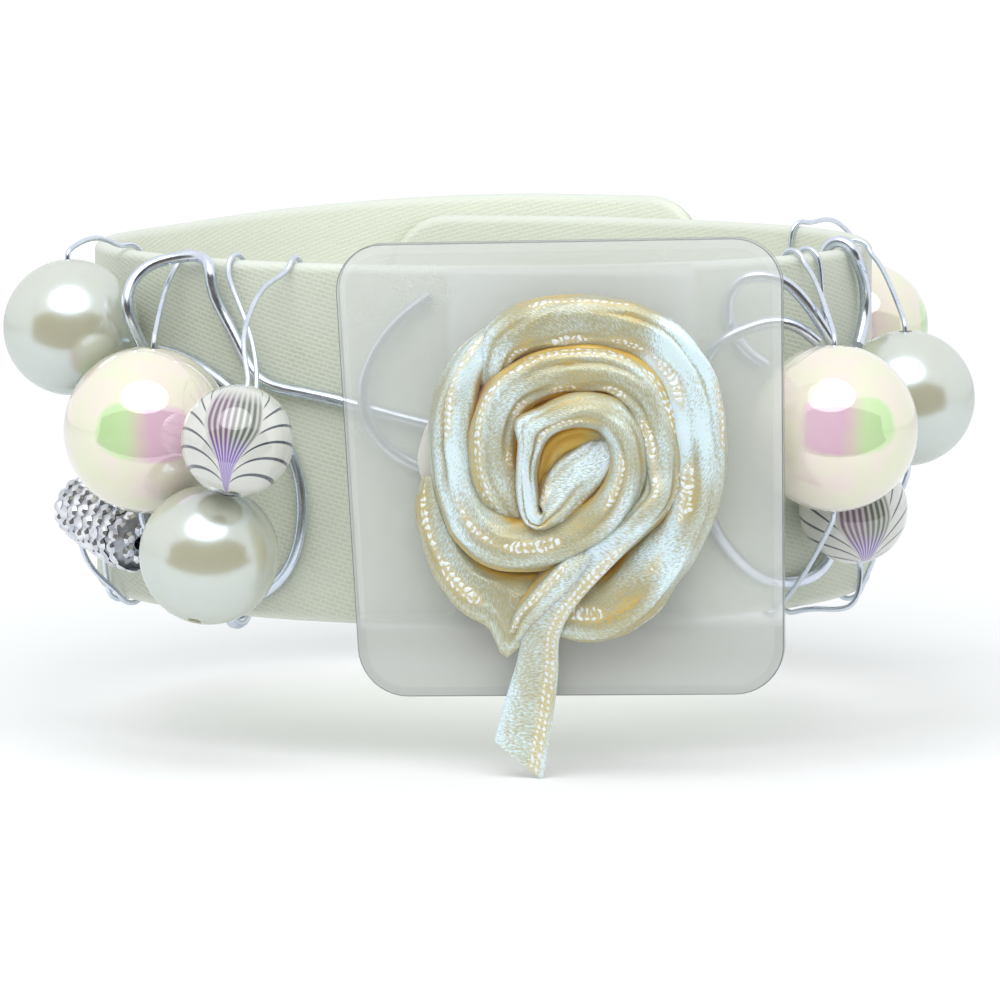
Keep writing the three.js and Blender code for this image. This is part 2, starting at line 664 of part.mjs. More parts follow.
addBeadWire("wire_rainbow_back",
  [...topHook(120, 45), ...route([120, 16, 3])],
  boreRun(globeBack, globeBack.radius),
  [...route([120, -8, 2.6]), ...bottomHook(120)]);
addBeadWire("wire_striped_right",
  [...topHook(56), ...route([56, 10, 0.8], [55.5, 5, 2])],
  boreRun(stripedRight, stripedRight.radius),
  [...route([54.6, -15, 5.2], [52.6, -14.8, 2])].concat(bottomHook(52, 45)));
addBeadWire("wire_rainbow_right",
  [...topHook(52), ...route([50.5, 13.4, 2.4])],
  boreRun(globeRight, globeRight.radius),
  [...route([45.6, -12.4, 3.4]), ...bottomHook(47)]);

// Scroll wires: thicker bare wire in loops and curls, tucked in beside the bed or over an edge

const low = FIT + SCROLL_WIRE_DIAMETER / 2;

// The place on the band's face, at a given height, where a wire's end just clears the bed.
function besideBed(sign, height) {
  const across = PLATE_X + sign * (PAD_WIDTH / 2 + FIT + SCROLL_WIRE_DIAMETER);
  return [THREE.MathUtils.radToDeg(Math.asin(across / (LOOP_WIDTH / 2 + low))), height, low];
}

function addScrollWire(name, points) {
  const rings = wireRings(points, SCROLL_WIRE_DIAMETER);
  add(name, skin(rings), aluminiumWire);
  printSelfGap(name, rings, 4 * SCROLL_WIRE_DIAMETER);
}

addScrollWire("scroll_wire_left", route(
  [-50.3, 7.1, 3.2], [-50, 9.8, 5.1], [-50.4, 11.4, 5.4], [-51.1, 13, 4.4], [-50, 14.4, 2.6],
  [-46.6, 15.3, 1.2], [-44, 16, -0.2], [-41.8, 15.7, 0.2], [-40.8, 14.3, 1.4], [-42.4, 13, 1.6],
  [-41.8, 12, low], [-39, 10.6, low], [-36.6, 8.6, low], [-34.6, 6.4, low], [-32.6, 5.1, low],
  [-29, 4.5, low], [-20.8, 4, low], [-12.6, 2.6, low], besideBed(-1, 1.9)));
addScrollWire("scroll_wire_left_low", [
  ...route([-52, 7, low], [-45.8, 6.8, low], [-38.5, 4.6, low], [-32.3, 2.4, low], [-28.1, 0.2, low]),
  ...route([-25.4, -3.8, low], [-26.3, -9.3, low], [-30.4, -12.3, low], [-35, -13.4, low]),
  ...hook(-38.6, -1, SCROLL_WIRE_DIAMETER, 0)]);
addScrollWire("scroll_wire_plate_left", route(
  besideBed(-1, 12.6), [-11.5, 11, low], [-15.4, 7.8, 1.4], [-16.9, 4, 2.1], [-14.6, 0.4, 1.4],
  [-10.4, -1.3, low], besideBed(-1, -1.9)));
addScrollWire("scroll_wire_right_loop", route(
  [47.5, 8.2, 6], [43.6, 13, 4.6], [40, 13.9, 3.6], [37.2, 14, 2.4], [35.6, 12.2, 1],
  [36, 9.8, low], [38.8, 7.4, low], [43, 6.2, low]));
addScrollWire("scroll_wire_right_upper", route(
  besideBed(1, 7), [33.2, 8.4, 1.7], [36.6, 9.5, 2.7], [41, 10.4, 4.1], [43.2, 9.6, 5.2]));
addScrollWire("scroll_wire_right_lower", route(
  besideBed(1, -5.6), [34, -7.6, low], [38.5, -10.5, low], [43.7, -12.3, low], [50.8, -12.7, low],
  [56.8, -12, low], [59.8, -10.2, low], [60.6, -8.4, low]));
addScrollWire("scroll_wire_right_side", [
  ...hook(66.8, 1, SCROLL_WIRE_DIAMETER, 0).reverse(),
  ...route([68.6, 13.2, low], [71.4, 11.6, low], [71.2, 8.8, low], [67.6, 6.8, low])]);

export default corsage;
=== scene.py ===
import json
import math

import bmesh
import bpy
from mathutils import Matrix, Vector, noise


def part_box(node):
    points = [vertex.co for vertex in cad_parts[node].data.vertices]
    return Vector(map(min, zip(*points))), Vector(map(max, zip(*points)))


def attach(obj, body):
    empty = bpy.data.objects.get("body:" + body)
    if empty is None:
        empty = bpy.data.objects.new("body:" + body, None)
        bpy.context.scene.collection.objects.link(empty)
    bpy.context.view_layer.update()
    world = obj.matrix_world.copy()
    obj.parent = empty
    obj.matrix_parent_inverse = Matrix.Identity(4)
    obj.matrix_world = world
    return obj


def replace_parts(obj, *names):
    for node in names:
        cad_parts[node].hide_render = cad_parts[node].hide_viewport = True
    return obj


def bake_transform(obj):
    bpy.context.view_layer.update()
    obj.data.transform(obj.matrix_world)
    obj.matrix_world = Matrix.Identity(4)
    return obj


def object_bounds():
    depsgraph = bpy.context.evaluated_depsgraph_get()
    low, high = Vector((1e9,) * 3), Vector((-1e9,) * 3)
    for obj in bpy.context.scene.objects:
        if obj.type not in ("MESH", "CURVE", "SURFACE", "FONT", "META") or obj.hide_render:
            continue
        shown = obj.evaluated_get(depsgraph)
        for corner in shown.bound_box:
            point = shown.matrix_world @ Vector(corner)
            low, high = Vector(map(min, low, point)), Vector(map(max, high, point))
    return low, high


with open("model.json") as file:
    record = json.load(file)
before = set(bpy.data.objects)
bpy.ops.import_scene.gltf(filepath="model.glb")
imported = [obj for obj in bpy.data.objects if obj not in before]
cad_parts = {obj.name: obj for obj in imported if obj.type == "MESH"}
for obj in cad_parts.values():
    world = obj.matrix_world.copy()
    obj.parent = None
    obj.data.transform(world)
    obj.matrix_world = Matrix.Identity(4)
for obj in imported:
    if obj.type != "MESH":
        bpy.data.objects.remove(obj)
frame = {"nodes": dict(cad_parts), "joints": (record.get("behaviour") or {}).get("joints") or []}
cad_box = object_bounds()

# Studio: a white sweep under a broad softbox, with a darker room behind the camera. The room shows
# only as the dark patch that glossy beads, bright wire and clear plastic pick up.
MM = 0.001
CAMERA_ELEVATION = 6
CAMERA_DISTANCE = 550 * MM
CAMERA_LENS = 226.7
CAMERA_SHIFT = (0.0165, -0.09)
SOFTBOX_PLACE = Vector((-0.04, -0.39, 0.49))
SOFTBOX_SIZE = (0.72, 0.56)
SOFTBOX_POWER = 2.7
AMBIENT = 0.82
FLOOR_HALF_WIDTH = 8
FLOOR_DROP = 0.4 * MM
NEAR_GLOW = 0.04
FAR_GLOW = 0.36
GLOW_FROM = 0.08
GLOW_FULL = 0.7
ROOM_DISTANCE = 0.9
ROOM_HALF_WIDTH = 2
ROOM_FLARE = 2.2
ROOM_HEIGHT = 0.62
TABLE_EDGE = 0.075


def srgb(code):
    """A hex colour as linear red, green, blue and full alpha."""
    parts = [int(code[i:i + 2], 16) / 255 for i in (1, 3, 5)]
    return (*[p / 12.92 if p <= 0.04045 else ((p + 0.055) / 1.055) ** 2.4 for p in parts], 1)


def plug(socket, value):
    """Links a socket to a node's first output or to another socket, or sets a number or a hex colour."""
    if isinstance(value, bpy.types.Node):
        value = next(output for output in value.outputs if output.enabled)
    if isinstance(value, bpy.types.NodeSocket):
        socket.id_data.links.new(value, socket)
    else:
        socket.default_value = srgb(value) if isinstance(value, str) else value


def add_node(tree, kind, inputs=None, **settings):
    """A shader node with its settings, and each input linked or set."""
    made = tree.nodes.new("ShaderNode" + kind)
    for name, value in settings.items():
        setattr(made, name, value)
    for name, value in (inputs or {}).items():
        plug(made.inputs[name], value)
    return made


def seen_directly(tree):
    """1 for rays that carry the background to the eye, straight, mirrored or through clear plastic."""
    path = add_node(tree, "LightPath")
    mirrored = add_node(tree, "Math", {0: path.outputs["Is Camera Ray"],
                                       1: path.outputs["Is Glossy Ray"]}, operation="MAXIMUM")
    return add_node(tree, "Math", {0: mirrored, 1: path.outputs["Is Transmission Ray"]},
                    operation="MAXIMUM")


scene = bpy.context.scene
scene.view_settings.view_transform = "Standard"

camera = bpy.data.objects.new("camera", bpy.data.cameras.new("camera"))
camera.data.lens = CAMERA_LENS
camera.data.shift_x, camera.data.shift_y = CAMERA_SHIFT
tilt = math.radians(CAMERA_ELEVATION)
camera.location = CAMERA_DISTANCE * Vector((0, -math.cos(tilt), math.sin(tilt)))
camera.rotation_mode = "QUATERNION"
camera.rotation_quaternion = (-camera.location).to_track_quat("-Z", "Y")
scene.collection.objects.link(camera)
scene.camera = camera

world = bpy.data.worlds.new("white_sweep")
world.use_nodes = True
scene.world = world
sky = world.node_tree
sky.nodes.clear()
around = add_node(sky, "Background", {"Color": "#f7fafc", "Strength": AMBIENT})
behind = add_node(sky, "Background", {"Color": "#ffffff", "Strength": 1})
both = add_node(sky, "MixShader", {0: seen_directly(sky), 1: around, 2: behind})
add_node(sky, "OutputWorld", {"Surface": both})

softbox = bpy.data.objects.new("softbox", bpy.data.lights.new("softbox", "AREA"))
softbox.data.shape = "ELLIPSE"
softbox.data.size, softbox.data.size_y = SOFTBOX_SIZE
softbox.data.energy = SOFTBOX_POWER
softbox.data.color = srgb("#fbfdff")[:3]
softbox.location = SOFTBOX_PLACE
softbox.rotation_mode = "QUATERNION"
softbox.rotation_quaternion = (-SOFTBOX_PLACE).to_track_quat("-Z", "Y")
scene.collection.objects.link(softbox)


def new_material(name):
    """A material with its tree and its Principled shader."""
    made = bpy.data.materials.new(name)
    made.use_nodes = True
    return made, made.node_tree, made.node_tree.nodes["Principled BSDF"]


def set_shader(shader, **values):
    """Sets or links the shader's own sockets, named in lower case with underscores."""
    for name, value in values.items():
        plug(shader.inputs[name.replace("_", " ").title().replace("Ior", "IOR")], value)


def new_object(name, bm, *materials, sharp=40):
    """A bmesh as a smooth object, with hard edges where it turns by more than sharp degrees."""
    for face in bm.faces:
        face.smooth = True
    for edge in bm.edges:
        if len(edge.link_faces) == 2 and edge.calc_face_angle() > math.radians(sharp):
            edge.smooth = False
    mesh = bpy.data.meshes.new(name)
    bm.to_mesh(mesh)
    bm.free()
    for material in materials:
        mesh.materials.append(material)
    made = bpy.data.objects.new(name, mesh)
    scene.collection.objects.link(made)
    return made


paper, tree, shader = new_material("white_paper")
watched = add_node(tree, "LightPath").outputs["Is Camera Ray"]
spot = add_node(tree, "TexCoord").outputs["Object"]
away = add_node(tree, "VectorMath", {0: spot}, operation="LENGTH")
further = add_node(tree, "MapRange", {"Value": away, "From Min": GLOW_FROM, "From Max": GLOW_FULL,
                                      "To Min": NEAR_GLOW, "To Max": FAR_GLOW})
glow = add_node(tree, "Math", {0: watched, 1: further}, operation="MULTIPLY")
set_shader(shader, base_color="#f2f2f2", roughness=0.9, emission_color="#ffffff", emission_strength=glow)
bm = bmesh.new()
bmesh.ops.create_grid(bm, x_segments=1, y_segments=1, size=FLOOR_HALF_WIDTH)
bmesh.ops.translate(bm, vec=(0, 0, cad_box[0].z - FLOOR_DROP), verts=bm.verts)
new_object("floor", bm, paper)

dim, tree, shader = new_material("dim_room")
set_shader(shader, base_color="#5b5347", roughness=1)
table_height = cad_box[0].z - FLOOR_DROP / 2
bm = bmesh.new()
room_rows = []
for y, z in ((-TABLE_EDGE, table_height), (-ROOM_DISTANCE, table_height), (-ROOM_DISTANCE, ROOM_HEIGHT)):
    reach = min(ROOM_HALF_WIDTH, ROOM_FLARE * -y)
    room_rows.append([bm.verts.new((-reach, y, z)), bm.verts.new((reach, y, z))])
for near, far in zip(room_rows, room_rows[1:]):
    bm.faces.new(near + far[::-1])
room = new_object("room", bm, dim)
room.visible_camera = False
room.visible_diffuse = False
room.visible_transmission = False
room.visible_shadow = False

# Slap band sleeve: ivory satin ribbon woven in short floats, folded over a spring strip and closed
# along both edges. It overlaps itself at the back, where it bends as the band is opened.
LOOP_WIDTH = 67.6 * MM
LOOP_DEPTH = 59 * MM
BAND_HEIGHT = 30 * MM
SLEEVE_THICKNESS = 1.6 * MM
STRIP_HEIGHT = 25 * MM
STRIP_THICKNESS = 0.3 * MM
LAP_GAP = 0.3 * MM
LEFT_LAP_START = 122
RIGHT_LAP_START = 112
LAP_SPREAD = 30
TAIL_RISE = 1.9 * MM
TAIL_RISE_SPREAD = 78
TIP_RADIUS = 5 * MM
TIP_TURNS = (15, 30, 45, 60, 72, 82, 88)
BAND_STEP = 2
LEFT_FLEX = (-126, -158)
LEFT_END = -215.5
RIGHT_FLEX = (134, 164)
RIGHT_END = 195
FLEX_REACH = 6
STRIP_SHORT = 8
SLACK = 0.07 * MM
SLACK_SIZE = 7 * MM
HEM_FROM = 0.945
HEM_BLEND = 0.05
# Painted light: the inside face of the loop is painted paler, and less so along the right arm, as painted
# shade.
INNER_LIGHT_EDGE = 3
INNER_LIGHT_FADE = 0.5
INNER_LIGHT_FADE_FROM = 60
INNER_LIGHT_FADE_SPREAD = 60


def smooth(value):
    """A soft step from 0 to 1."""
    value = min(1, max(0, value))
    return value * value * (3 - 2 * value)


def band_point(angle, height, standoff):
    """A place on the band: angle from the front, positive to the right, height and distance out."""
    turn = math.radians(angle)
    normal = Vector((math.sin(turn) * LOOP_DEPTH, -math.cos(turn) * LOOP_WIDTH, 0)).normalized()
    shift = (SLEEVE_THICKNESS + LAP_GAP) / 2
    if angle < 0:
        shift *= smooth((-angle - LEFT_LAP_START) / LAP_SPREAD)
    else:
        shift *= -smooth((angle - RIGHT_LAP_START) / LAP_SPREAD)
    rise = TAIL_RISE * smooth((-angle - RIGHT_LAP_START) / TAIL_RISE_SPREAD)
    foot = Vector((LOOP_WIDTH / 2 * math.sin(turn), -LOOP_DEPTH / 2 * math.cos(turn), height + rise))
    return foot + normal * (standoff + shift)


def band_length(start, end, count=60):
    """The length along the band from one angle to another."""
    places = [band_point(start + (end - start) * i / count, 0, 0) for i in range(count + 1)]
    return sum((b - a).length for a, b in zip(places, places[1:]))


def loft(rings):
    """A closed skin over equal rings of (place, thread, side). Thread is (along, across, tone): the pale hem
    on the band, painted shade less painted shine on the rose.
    """
    bm = bmesh.new()
    thread = bm.verts.layers.float_vector.new("thread")
    side = bm.verts.layers.float.new("side")
    loops = []
    for ring in rings:
        loops.append([])
        for place, weave, edge in ring:
            vert = bm.verts.new(place)
            vert[thread] = weave
            vert[side] = edge
            loops[-1].append(vert)
    for here, there in zip(loops, loops[1:]):
        for j, vert in enumerate(here):
            k = (j + 1) % len(here)
            bm.faces.new((vert, here[k], there[k], there[j]))
    bm.faces.new(loops[0])
    bm.faces.new(loops[-1])
    bmesh.ops.recalc_face_normals(bm, faces=bm.faces)
    return bm


def flat_section(thickness, half_height, face_steps=14, edge_steps=8):
    """The outline of a flat strip with round edges, as pairs of standoff and height."""
    radius = thickness / 2
    straight = half_height - radius
    outline = [(0, straight * (2 * i / face_steps - 1)) for i in range(face_steps)]
    for i in range(edge_steps):
        turn = math.pi * i / edge_steps
        outline.append((radius * (math.cos(turn) - 1), straight + radius * math.sin(turn)))
    return outline + [(-thickness - standoff, -height) for standoff, height in outline]


def band_ring(angle, thickness, half_height, inset, slack):
    """One ring of sleeve or strip round the band's middle line."""
    along = math.copysign(band_length(0, angle), angle) / MM
    start = (thickness - SLEEVE_THICKNESS) / 2
    # How much painted light the inside face gets here; it fades along the right arm as painted shade.
    inner_light = 1 - INNER_LIGHT_FADE * smooth((angle - INNER_LIGHT_FADE_FROM) / INNER_LIGHT_FADE_SPREAD)
    ring = []
    for standoff, height in flat_section(thickness, half_height):
        height *= 1 - inset / half_height
        spot = band_point(angle, height, 0) / SLACK_SIZE
        loose = slack * noise.noise(spot + Vector((0, 0, standoff / MM)))
        hem = smooth((abs(height) / half_height - HEM_FROM) / HEM_BLEND)
        inside = smooth(0.5 - (standoff / thickness + 0.5) * INNER_LIGHT_EDGE) * inner_light
        ring.append((band_point(angle, height, start + standoff + loose), (along, height / MM, hem), inside))
    return ring


def band_piece(name, start, end, thickness, half_height, slack, material, tip):
    """A stretch of sleeve or strip between two angles, with a rounded end where it is free."""
    way = math.copysign(1, end - start)
    rounded = []
    if tip:
        per_degree = band_length(end - way, end)
        end -= way * TIP_RADIUS / per_degree
        for turn in TIP_TURNS:
            along = TIP_RADIUS * math.sin(math.radians(turn))
            inset = TIP_RADIUS * (1 - math.cos(math.radians(turn)))
            angle = end + way * along / per_degree
            rounded.append(band_ring(angle, thickness, half_height, inset, slack))
    count = max(1, math.ceil(abs(end - start) / BAND_STEP))
    angles = [start + (end - start) * i / count for i in range(count + 1)]
    rings = [band_ring(angle, thickness, half_height, 0, slack) for angle in angles]
    return new_object(name, loft(rings + rounded), material, sharp=60)


# Woven satin: short floats lie in staggered rows that slant down to the right, so it reads as fine
# dashes with a soft sheen. The rows are 0.37 mm apart, and the folded edge is a little paler.
ROW_SPACING = 0.37
ROW_SLANT = 14
FLOAT_LENGTH = 0.82
CLOUD_SIZE = 6.25
FLOAT_RELIEF = 0.03 * MM
woven, tree, shader = new_material("woven_satin")
thread = add_node(tree, "Attribute", attribute_name="thread").outputs["Vector"]
slanted = add_node(tree, "Mapping", {0: thread, "Rotation": (0, 0, math.radians(ROW_SLANT))})
rows = add_node(tree, "TexBrick", {"Vector": slanted, "Color1": "#b3b7a1", "Color2": "#bbc0ab",
                                   "Mortar": "#ced2c1", "Scale": 1, "Mortar Size": 0.11,
                                   "Mortar Smooth": 0.8, "Brick Width": FLOAT_LENGTH,
                                   "Row Height": ROW_SPACING}, offset=0.5)
uneven = add_node(tree, "TexNoise", {"Vector": thread, "Scale": 1 / CLOUD_SIZE, "Detail": 3})
cloudy = add_node(tree, "Mix", {0: uneven, 6: rows, 7: "#cacfc1"}, data_type="RGBA")
# The inside face is painted paler with the next colour, as painted light.
inner_light = add_node(tree, "Attribute", attribute_name="side").outputs["Fac"]
lined = add_node(tree, "Mix", {0: inner_light, 6: cloudy, 7: "#e3e6d6"}, data_type="RGBA")
parts = add_node(tree, "SeparateXYZ", {0: thread})
hemmed = add_node(tree, "Mix", {0: parts.outputs["Z"], 6: lined, 7: "#d9ddd2"}, data_type="RGBA")
raised = add_node(tree, "Bump", {"Strength": 0.5, "Distance": FLOAT_RELIEF,
                                 "Height": rows.outputs["Fac"]}, invert=True)
set_shader(shader, base_color=hemmed, normal=raised, roughness=0.55, sheen_weight=0.2,
           sheen_roughness=0.4)

# Spring strip: thin steel rolled hard, inside the sleeve, that keeps the band curled. It is bright,
# with faint lines along its length.
ROLLED_LENGTH = 20
ROLLED_WIDTH = 1 / 6
strip_steel, tree, shader = new_material("rolled_spring_steel")
thread = add_node(tree, "Attribute", attribute_name="thread").outputs["Vector"]
drawn_out = add_node(tree, "Mapping", {0: thread, "Scale": (1 / ROLLED_LENGTH, 1 / ROLLED_WIDTH, 1)})
lines = add_node(tree, "TexNoise", {"Vector": drawn_out, "Scale": 1, "Detail": 2})
rolled = add_node(tree, "Mix", {0: lines, 6: "#aeb1b5", 7: "#c9ccd0"}, data_type="RGBA")
set_shader(shader, base_color=rolled, metallic=1, roughness=0.32)

# The band is made in stretches that meet in the middle of each stiff length. Those across a flex line
# are baked in place and not attached to a body.
left_middle = sum(LEFT_FLEX) / 2
right_middle = sum(RIGHT_FLEX) / 2
left_tail = LEFT_FLEX[1] - 2 * FLEX_REACH
right_tail = RIGHT_FLEX[1] + 2 * FLEX_REACH
left_front = LEFT_FLEX[0] + 2 * FLEX_REACH
right_front = RIGHT_FLEX[0] - 2 * FLEX_REACH
stretches = [
    ("face", left_front, right_front, None, ("front",)),
    ("left_bend", left_front, left_middle, LEFT_FLEX[0], ("front", "left_arm")),
    ("left_outer_bend", left_middle, left_tail, LEFT_FLEX[1], ("left_arm", "left_end")),
    ("left_tail", left_tail, LEFT_END, None, ("left_end",)),
    ("right_bend", right_front, right_middle, RIGHT_FLEX[0], ("front", "right_arm")),
    ("right_outer_bend", right_middle, right_tail, RIGHT_FLEX[1], ("right_arm", "right_end")),
    ("right_tail", right_tail, RIGHT_END, None, ("right_end",)),
]
stands_for = {
    "face": "front", "left_bend": "left_arm", "left_tail": "left_end",
    "right_bend": "right_arm", "right_tail": "right_end",
}
for name, start, end, flex, bodies in stretches:
    tip = name.endswith("tail")
    strip_end = end - math.copysign(STRIP_SHORT, end) if tip else end
    sleeve = band_piece("sleeve_" + name, start, end, SLEEVE_THICKNESS, BAND_HEIGHT / 2, SLACK, woven, tip)
    strip = band_piece("strip_" + name, start, strip_end, STRIP_THICKNESS, STRIP_HEIGHT / 2, 0,
                       strip_steel, False)
    band_length(start, end)
    for piece, slot in ((sleeve, "band_satin"), (strip, "spring_steel")):
        if flex is None:
            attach(piece, bodies[0])
        else:
            reach = math.copysign(FLEX_REACH, flex)
            band_point(flex - reach, 0, 0)
            band_point(flex + reach, 0, 0)
            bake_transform(piece)
    if name in stands_for:
        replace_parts(sleeve, "sleeve_" + stands_for[name])
        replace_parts(strip, "spring_strip_" + stands_for[name])

# Beads: each is turned with a bore, from moulded plastic or pressed glass, and spins on its wire.
# Its own coordinates, from -1 to 1 with the bore along Z, are kept for the coats that follow it.
BORE = 1.2 * MM
joints = {joint["name"]: joint for joint in frame["joints"]}


def bead_place(joint, turn=0):
    """The place of a bead on its bore: turned about its own axis, then tipped with the wire."""
    axis = Vector(joints[joint]["axis"]).normalized()
    tip = Vector((0, 0, 1)).rotation_difference(axis).to_matrix().to_4x4()
    spin = Matrix.Rotation(math.radians(turn), 4, "Z")
    return Matrix.Translation(joints[joint]["pos_m"]) @ tip @ spin


def turned_bead(outline, steps=72):
    """A solid of revolution about Z from an open outline of (radius, height), closed by its bore."""
    bm = bmesh.new()
    verts = [bm.verts.new((radius, 0, height)) for radius, height in outline]
    edges = [bm.edges.new(pair) for pair in zip(verts, verts[1:] + verts[:1])]
    bmesh.ops.spin(bm, geom=verts + edges, axis=(0, 0, 1), cent=(0, 0, 0), angle=2 * math.pi,
                   steps=steps, use_merge=True)
    bmesh.ops.remove_doubles(bm, verts=bm.verts, dist=0.001 * MM)
    bmesh.ops.recalc_face_normals(bm, faces=bm.faces)
    return bm


def ball_outline(diameter, count=40):
    """Half a circle from bore mouth to bore mouth."""
    mouth = math.asin(BORE / diameter)
    turns = [mouth + (math.pi - 2 * mouth) * i / count for i in range(count + 1)]
    return [(diameter / 2 * math.sin(turn), -diameter / 2 * math.cos(turn)) for turn in turns]


def add_ball(name, joint, body, diameter, turn, material, hand=1):
    """A round bead, with its coat laid on to the left or to the right."""
    bm = turned_bead(ball_outline(diameter))
    own = bm.verts.layers.float_vector.new("own")
    for vert in bm.verts:
        vert[own] = Vector((hand * vert.co.x, vert.co.y, vert.co.z)) / (diameter / 2)
    bmesh.ops.transform(bm, matrix=bead_place(joint, turn), verts=bm.verts)
    ball = new_object(name + "_ball", bm, material)
    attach(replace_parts(ball, name), body)


# Pearl: plastic under many coats of pearl lacquer, a cream body under a soft cool mirror, so lights are
# broad and the body shows where the dark room is mirrored. The lacquer is faintly mottled.
PEARL = 11.5 * MM
MOTTLE_SIZE = 2.4 * MM
pearl, tree, shader = new_material("pearl_lacquer")
own = add_node(tree, "Attribute", attribute_name="own").outputs["Vector"]
mottle = add_node(tree, "TexNoise", {"Vector": own, "Scale": PEARL / 2 / MOTTLE_SIZE, "Detail": 3})
lacquer = add_node(tree, "Mix", {0: mottle, 6: "#c8c29e", 7: "#ccc9b0"}, data_type="RGBA")
set_shader(shader, base_color=lacquer, roughness=0.24, ior=4.6, specular_tint="#d6eaff", coat_weight=0.6,
           coat_roughness=0.1, subsurface_weight=0.5, subsurface_radius=(1, 0.9, 0.45),
           subsurface_scale=3 * MM)
for side in ("left", "lower", "right"):
    add_ball("pearl_" + side, f"pearl_{side}_spin", "pearl_" + side, PEARL, 0, pearl)

# Rainbow bead: cream plastic under a thin film and a hard gloss. The film's colours are painted in oval
# panels round the middle, each running from green through tan to pink, where the mirrored dark room shows
# them: the film's own colour laid on as a painted reflection. The film is faint between the panels.
GLOBE = 13.9 * MM
SMALL_GLOBE = 11.4 * MM
PANELS_ROUND = 3
PANEL_HALF_HEIGHT = 0.33
PANEL_RISE = 0.12
PANEL_SHARE = 0.28
PANEL_SQUARE = 4
PANEL_RAGGED = 1.6
HUE_STRAY = 0.16
STRAY_SIZE = 2.67 * MM


def set_ramp(node, *stops):
    """Lays hex colours along a ramp, from its first place to its last."""
    elements = node.color_ramp.elements
    elements[0].position, elements[1].position = stops[0][0], stops[-1][0]
    elements[0].color, elements[1].color = srgb(stops[0][1]), srgb(stops[-1][1])
    for place, code in stops[1:-1]:
        elements.new(place).color = srgb(code)


def bead_axes(tree):
    """A bead's own coordinates, their parts, and the bearing round its bore from the front."""
    own = add_node(tree, "Attribute", attribute_name="own").outputs["Vector"]
    axes = add_node(tree, "SeparateXYZ", {0: own})
    front = add_node(tree, "Math", {0: axes.outputs["Y"], 1: -1}, operation="MULTIPLY")
    return own, axes, add_node(tree, "Math", {0: axes.outputs["X"], 1: front}, operation="ARCTAN2")


rainbow, tree, shader = new_material("rainbow_film")
own, axes, bearing = bead_axes(tree)
turns = add_node(tree, "Math", {0: bearing, 1: PANELS_ROUND / (2 * math.pi), 2: 0.5},
                 operation="MULTIPLY_ADD")
across = add_node(tree, "Math", {0: turns}, operation="FRACT")
wander = add_node(tree, "TexNoise", {"Vector": own, "Scale": GLOBE / 2 / STRAY_SIZE, "Detail": 3})
strayed = add_node(tree, "Math", {0: wander, 1: HUE_STRAY, 2: across}, operation="MULTIPLY_ADD")
hues = add_node(tree, "ValToRGB", {0: strayed})
set_ramp(hues, (0.25, "#b6dd9b"), (0.46, "#c4e0a8"), (0.53, "#d3ceb7"), (0.62, "#dcb3c9"),
         (0.8, "#e0bcce"), (0.9, "#e5d2ce"))
off_middle = add_node(tree, "Math", {0: across, 1: 0.5}, operation="SUBTRACT")
sideways = add_node(tree, "Math", {0: off_middle, 1: 1 / PANEL_SHARE}, operation="MULTIPLY")
upright = add_node(tree, "Math", {0: axes.outputs["Z"], 1: 1 / PANEL_HALF_HEIGHT,
                                  2: -PANEL_RISE / PANEL_HALF_HEIGHT}, operation="MULTIPLY_ADD")
wide = add_node(tree, "Math", {0: sideways, 1: PANEL_SQUARE}, operation="POWER")
tall = add_node(tree, "Math", {0: upright, 1: PANEL_SQUARE}, operation="POWER")
reach = add_node(tree, "Math", {0: wide, 1: tall}, operation="ADD")
ragged = add_node(tree, "Math", {0: wander, 1: PANEL_RAGGED, 2: reach}, operation="MULTIPLY_ADD")
# The oval panel where the film's colour is painted, as a painted reflection of the dark room.
painted_film_reflection = add_node(tree, "MapRange", {"Value": ragged, "From Min": 2.2, "From Max": 1.4, "To Min": 0.1,
                                    "To Max": 0.92}, interpolation_type="SMOOTHSTEP")
blush = add_node(tree, "MapRange", {"Value": wander, "From Min": 0.36, "From Max": 0.64})
cream = add_node(tree, "Mix", {0: blush, 6: "#e4e3c8", 7: "#e9dcd2"}, data_type="RGBA")
film = add_node(tree, "Mix", {0: painted_film_reflection, 6: cream, 7: hues}, data_type="RGBA")
set_shader(shader, base_color=film, metallic=0.12, roughness=0.06, coat_weight=1, coat_roughness=0.02,
           coat_ior=1.6)
# Each bead's turn sets where its painted reflection panels face.
globes = (("left", GLOBE, 0, 1), ("right", GLOBE, 7, -1), ("back", SMALL_GLOBE, 94, 1))
for side, size, turn, hand in globes:
    add_ball("rainbow_bead_" + side, f"rainbow_{side}_spin", "rainbow_" + side, size, turn, rainbow,
             hand)

# Striped bead: milky glass drawn into feathers. Dark lines rise from the lower pole and arch out to the
# sides like petals, with a bundle of fine plum and grey lines up the front that starts violet.
STRIPED = 9.2 * MM
MILK_SIZE = 2.55 * MM
PETAL_STEP = 0.36
PETAL_ARCH = 2
FEATHER_LEAN = 0.04
FINE_LINES = 9
striped, tree, shader = new_material("feathered_glass")
own, axes, bearing = bead_axes(tree)
leant = add_node(tree, "Math", {0: bearing, 1: FEATHER_LEAN}, operation="ADD")
aside = add_node(tree, "Math", {0: leant}, operation="ABSOLUTE")
climb = add_node(tree, "MapRange", {"Value": axes.outputs["Z"], "From Min": -0.9, "From Max": 0.1,
                                    "To Min": 0.16, "To Max": 0.52}, interpolation_type="SMOOTHSTEP")
inside = add_node(tree, "Math", {0: aside, 1: climb}, operation="DIVIDE")
bundle = add_node(tree, "MapRange", {"Value": inside, "From Min": 1.05, "From Max": 0.9, "To Min": 0,
                                     "To Max": 1})
